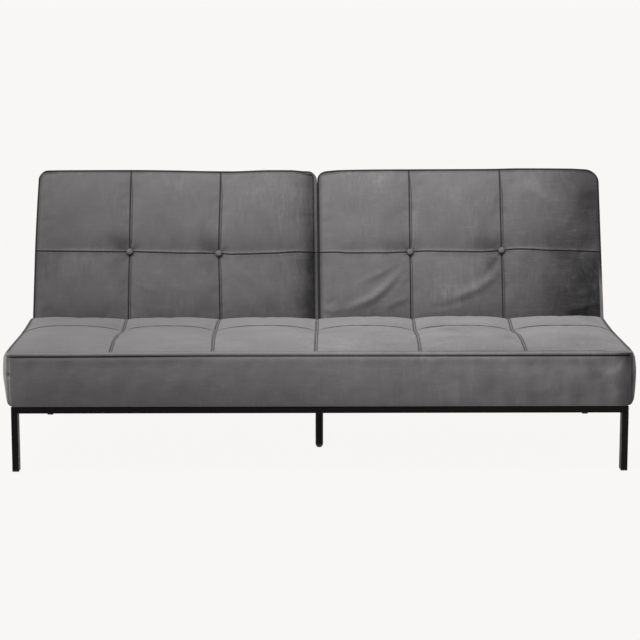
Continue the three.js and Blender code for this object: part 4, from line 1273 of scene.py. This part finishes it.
def plywood():
    wood = finish("pine_board")
    rings = wood.noise(14, 5, 0.62, (0.6, 4, 9), warp=0.8)
    grain = wood.noise(90, 3, 0.6, (0.2, 3, 7))
    colour = wood.blend(rings * 0.7 + grain * 0.3, (0.36, 0.22, 0.11), (0.62, 0.44, 0.25))
    return wood.done(Base_Color=colour, Roughness=0.72 + grain * 0.15, Normal=wood.bump(grain, 0.0003, 0.4))


def lining():
    felt = finish("black_lining")
    fibre = felt.noise(520, 3, 0.7)
    cloud = felt.noise(16, 4, 0.6)
    colour = felt.blend(fibre * 0.6 + cloud * 0.4, (0.010, 0.010, 0.011), (0.030, 0.030, 0.033))
    nap = felt.bump(fibre, 0.0004, 0.6)
    return felt.done(Base_Color=colour, Roughness=0.94, Specular_IOR_Level=0.2, Normal=nap)


def moulded_plastic():
    plastic = finish("black_moulded_plastic")
    skin = plastic.bump(plastic.noise(700, 2, 0.6), 0.00015, 0.4)
    scuff = plastic.ramp(plastic.noise(30, 4, 0.7), (0.5, 0), (0.85, 1))
    colour = plastic.blend(scuff, (0.009, 0.009, 0.0095), (0.03, 0.03, 0.03))
    return plastic.done(Base_Color=colour, Roughness=0.5 + scuff * 0.25, Normal=skin)


def dressed(piece, material):
    """Gives a piece its only material."""
    piece.data.materials.clear()
    piece.data.materials.append(material)


SEAT_VELVET = velvet("grey_velvet_seat", (0.35, 1.0, 1.6), (1.9, 0.7, 0.5), (0.55, 1.0, 1.3), 0.11)
BACK_VELVET = velvet("grey_velvet_backs", (2.1, 1.0, 0.3), (0.4, 1.0, 2.2), (1.3, 1.0, 0.7), 0.16)

seat_piece = make_seat_cushion()
dressed(seat_piece, SEAT_VELVET)
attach(seat_piece, "base")
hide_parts("seat_cushion")

for hand in ("left", "right"):
    body = f"{hand}_back"
    cushion = make_back_cushion(hand)
    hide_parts(f"{hand}_back_cushion")
    cover = make_rear_cover(hand)
    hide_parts(f"{hand}_back_rear_cover")
    pieces = [cushion, cover]
    for number, x in enumerate(BACK_SEAMS[hand], 1):
        disc = make_button(hand, number, x)
        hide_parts(f"{hand}_back_button_{number}")
        pieces.append(disc)
    for piece in pieces:
        dressed(piece, BACK_VELVET)
        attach(piece, body)


# Shares of the screw's radius and millimetres rearwards, from the driver hole over the head's rim
SCREW_PROFILE = [(0, 1.1), (0.34, 1.1), (0.38, 2.1), (0.6, 2.2), (0.86, 1.8), (0.97, 1.1)]
SCREW_PROFILE += [(1, 0.4), (1, -0.5), (0, -0.5)]


def make_plate_screws(name, to_free_end):
    """Two flat-headed screws in a seat plate's flange, seen from behind, with a round driver hole."""
    low, high = (corner / MM for corner in map(Vector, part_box(f"{name}_hinge_seat_plate")))
    x = (high if to_free_end > 0 else low).x - to_free_end * SCREW["from_end"]
    bm = bmesh.new()
    profile = [(share * SCREW["radius"], rearwards) for share, rearwards in SCREW_PROFILE]
    for height in SCREW["heights"]:
        spun(bm, profile, (x, low.y + SCREW["plate"], low.z + height), SCREW["steps"])
    piece = placed(bm, f"{name}_hinge_plate_screws")
    piece.data.set_sharp_from_angle(angle=SCREW_ANGLE)
    return piece


def node_finish(name):
    """Which finish a node of the model has, by what it is called."""
    if name.endswith(("_rail", "_leg")):
        return "coat"
    if name.endswith("_foot"):
        return "plastic"
    if "spring" in name:
        return "steel"
    if name in ("seat_dust_cover", "seat_rear_board"):
        return "lining"
    if name.endswith(("_board", "_frame")):
        return "wood"
    return "zinc"


node_finishes = {
    "coat": powder_coat(),
    "plastic": moulded_plastic(),
    "steel": spring_steel(),
    "lining": lining(),
    "wood": plywood(),
    "zinc": zinc(),
}
# How wide the edges of each hard finish are eased, in metres
EASED_EDGES = {"coat": 0.0012, "plastic": 0.0005, "zinc": 0.0005, "wood": 0.0005}
for name, to_free_end in (("left_outer", 1), ("left_inner", -1), ("right_inner", 1), ("right_outer", -1)):
    screws = make_plate_screws(name, to_free_end)
    dressed(screws, node_finishes["zinc"])
    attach(screws, "base")
for name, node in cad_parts.items():
    kind = node_finish(name)
    for slot in node.material_slots:
        slot.material = node_finishes[kind]
    if kind in EASED_EDGES:
        merge = node.modifiers.new("merge", "WELD")
        merge.merge_threshold = 0.00001
        ease = node.modifiers.new("ease", "BEVEL")
        ease.width = EASED_EDGES[kind]
        ease.segments = 2
        ease.limit_method = "ANGLE"
        ease.angle_limit = EASED_ANGLE
        ease.harden_normals = False


# Floor, light and camera

STUDIO = {
    "floor_half": 400,
    "floor": (0.42, 0.415, 0.41, 1),
    "floor_seen": (0.960, 0.943, 0.926, 1),
    "floor_seen_share": 0.97,
    "wall_seen": (0.956, 0.939, 0.922, 1),
    "light": (1.0, 1.0, 1.0, 1),
    "light_strength": 0.36,
}
SUN = {"towards": (0.26, 0.17, -0.95), "strength": 3.3, "softness": math.radians(40)}
CAMERA = {"lens": 111.67, "sensor": 36, "place": (-0.0566, -6.468, 1.4428), "tilt": 80.877, "turn": -0.53}


def make_floor():
    """A wide floor that takes the sofa's shadow and is seen as bright as the wall."""
    bm = bmesh.new()
    bmesh.ops.create_grid(bm, x_segments=1, y_segments=1, size=STUDIO["floor_half"])
    floor = placed(bm, "studio_floor")
    paint = finish("pale_floor")
    camera, glossy, through = [paint.node("ShaderNodeLightPath", output=i) for i in (0, 3, 6)]
    seen = camera.maths("MAXIMUM", camera.maths("MAXIMUM", camera, glossy), through)
    plain = paint.node("ShaderNodeBsdfDiffuse", sockets={"Color": STUDIO["floor"]})
    glow = paint.node("ShaderNodeEmission", sockets={"Color": STUDIO["floor_seen"], "Strength": 1.0})
    share = seen * STUDIO["floor_seen_share"]
    mixed = paint.node("ShaderNodeMixShader", sockets={0: share, 1: plain, 2: glow})
    paint.node("ShaderNodeOutputMaterial", sockets={"Surface": mixed})
    dressed(floor, paint.block)


def make_world():
    """Even light from all sides, with a pale wall where the camera sees past the floor."""
    bpy.context.scene.world = bpy.data.worlds.new("studio")
    sky = Finish(bpy.context.scene.world)
    light = sky.node("ShaderNodeBackground", sockets={0: STUDIO["light"], 1: STUDIO["light_strength"]})
    shown = sky.node("ShaderNodeBackground", sockets={0: STUDIO["wall_seen"]})
    camera_ray = sky.node("ShaderNodeLightPath")
    mixed = sky.node("ShaderNodeMixShader", sockets={0: camera_ray, 1: light, 2: shown})
    sky.node("ShaderNodeOutputWorld", sockets={0: mixed})


def make_sun():
    """One large soft lamp, high up in front and to the left."""
    lamp = bpy.data.lights.new("key", "SUN")
    lamp.energy = SUN["strength"]
    lamp.angle = SUN["softness"]
    sun = bpy.data.objects.new("key", lamp)
    sun.rotation_euler = Vector(SUN["towards"]).to_track_quat("-Z", "Y").to_euler()
    bpy.context.scene.collection.objects.link(sun)


def make_camera():
    """The camera of the photograph, in metres and degrees."""
    lens = bpy.data.cameras.new("camera")
    lens.lens = CAMERA["lens"]
    lens.sensor_width = CAMERA["sensor"]
    camera = bpy.data.objects.new("camera", lens)
    camera.location = CAMERA["place"]
    camera.rotation_euler = (math.radians(CAMERA["tilt"]), 0, math.radians(CAMERA["turn"]))
    bpy.context.scene.collection.objects.link(camera)
    bpy.context.scene.camera = camera


make_floor()
make_world()
make_sun()
make_camera()
bpy.context.scene.view_settings.view_transform = "Standard"
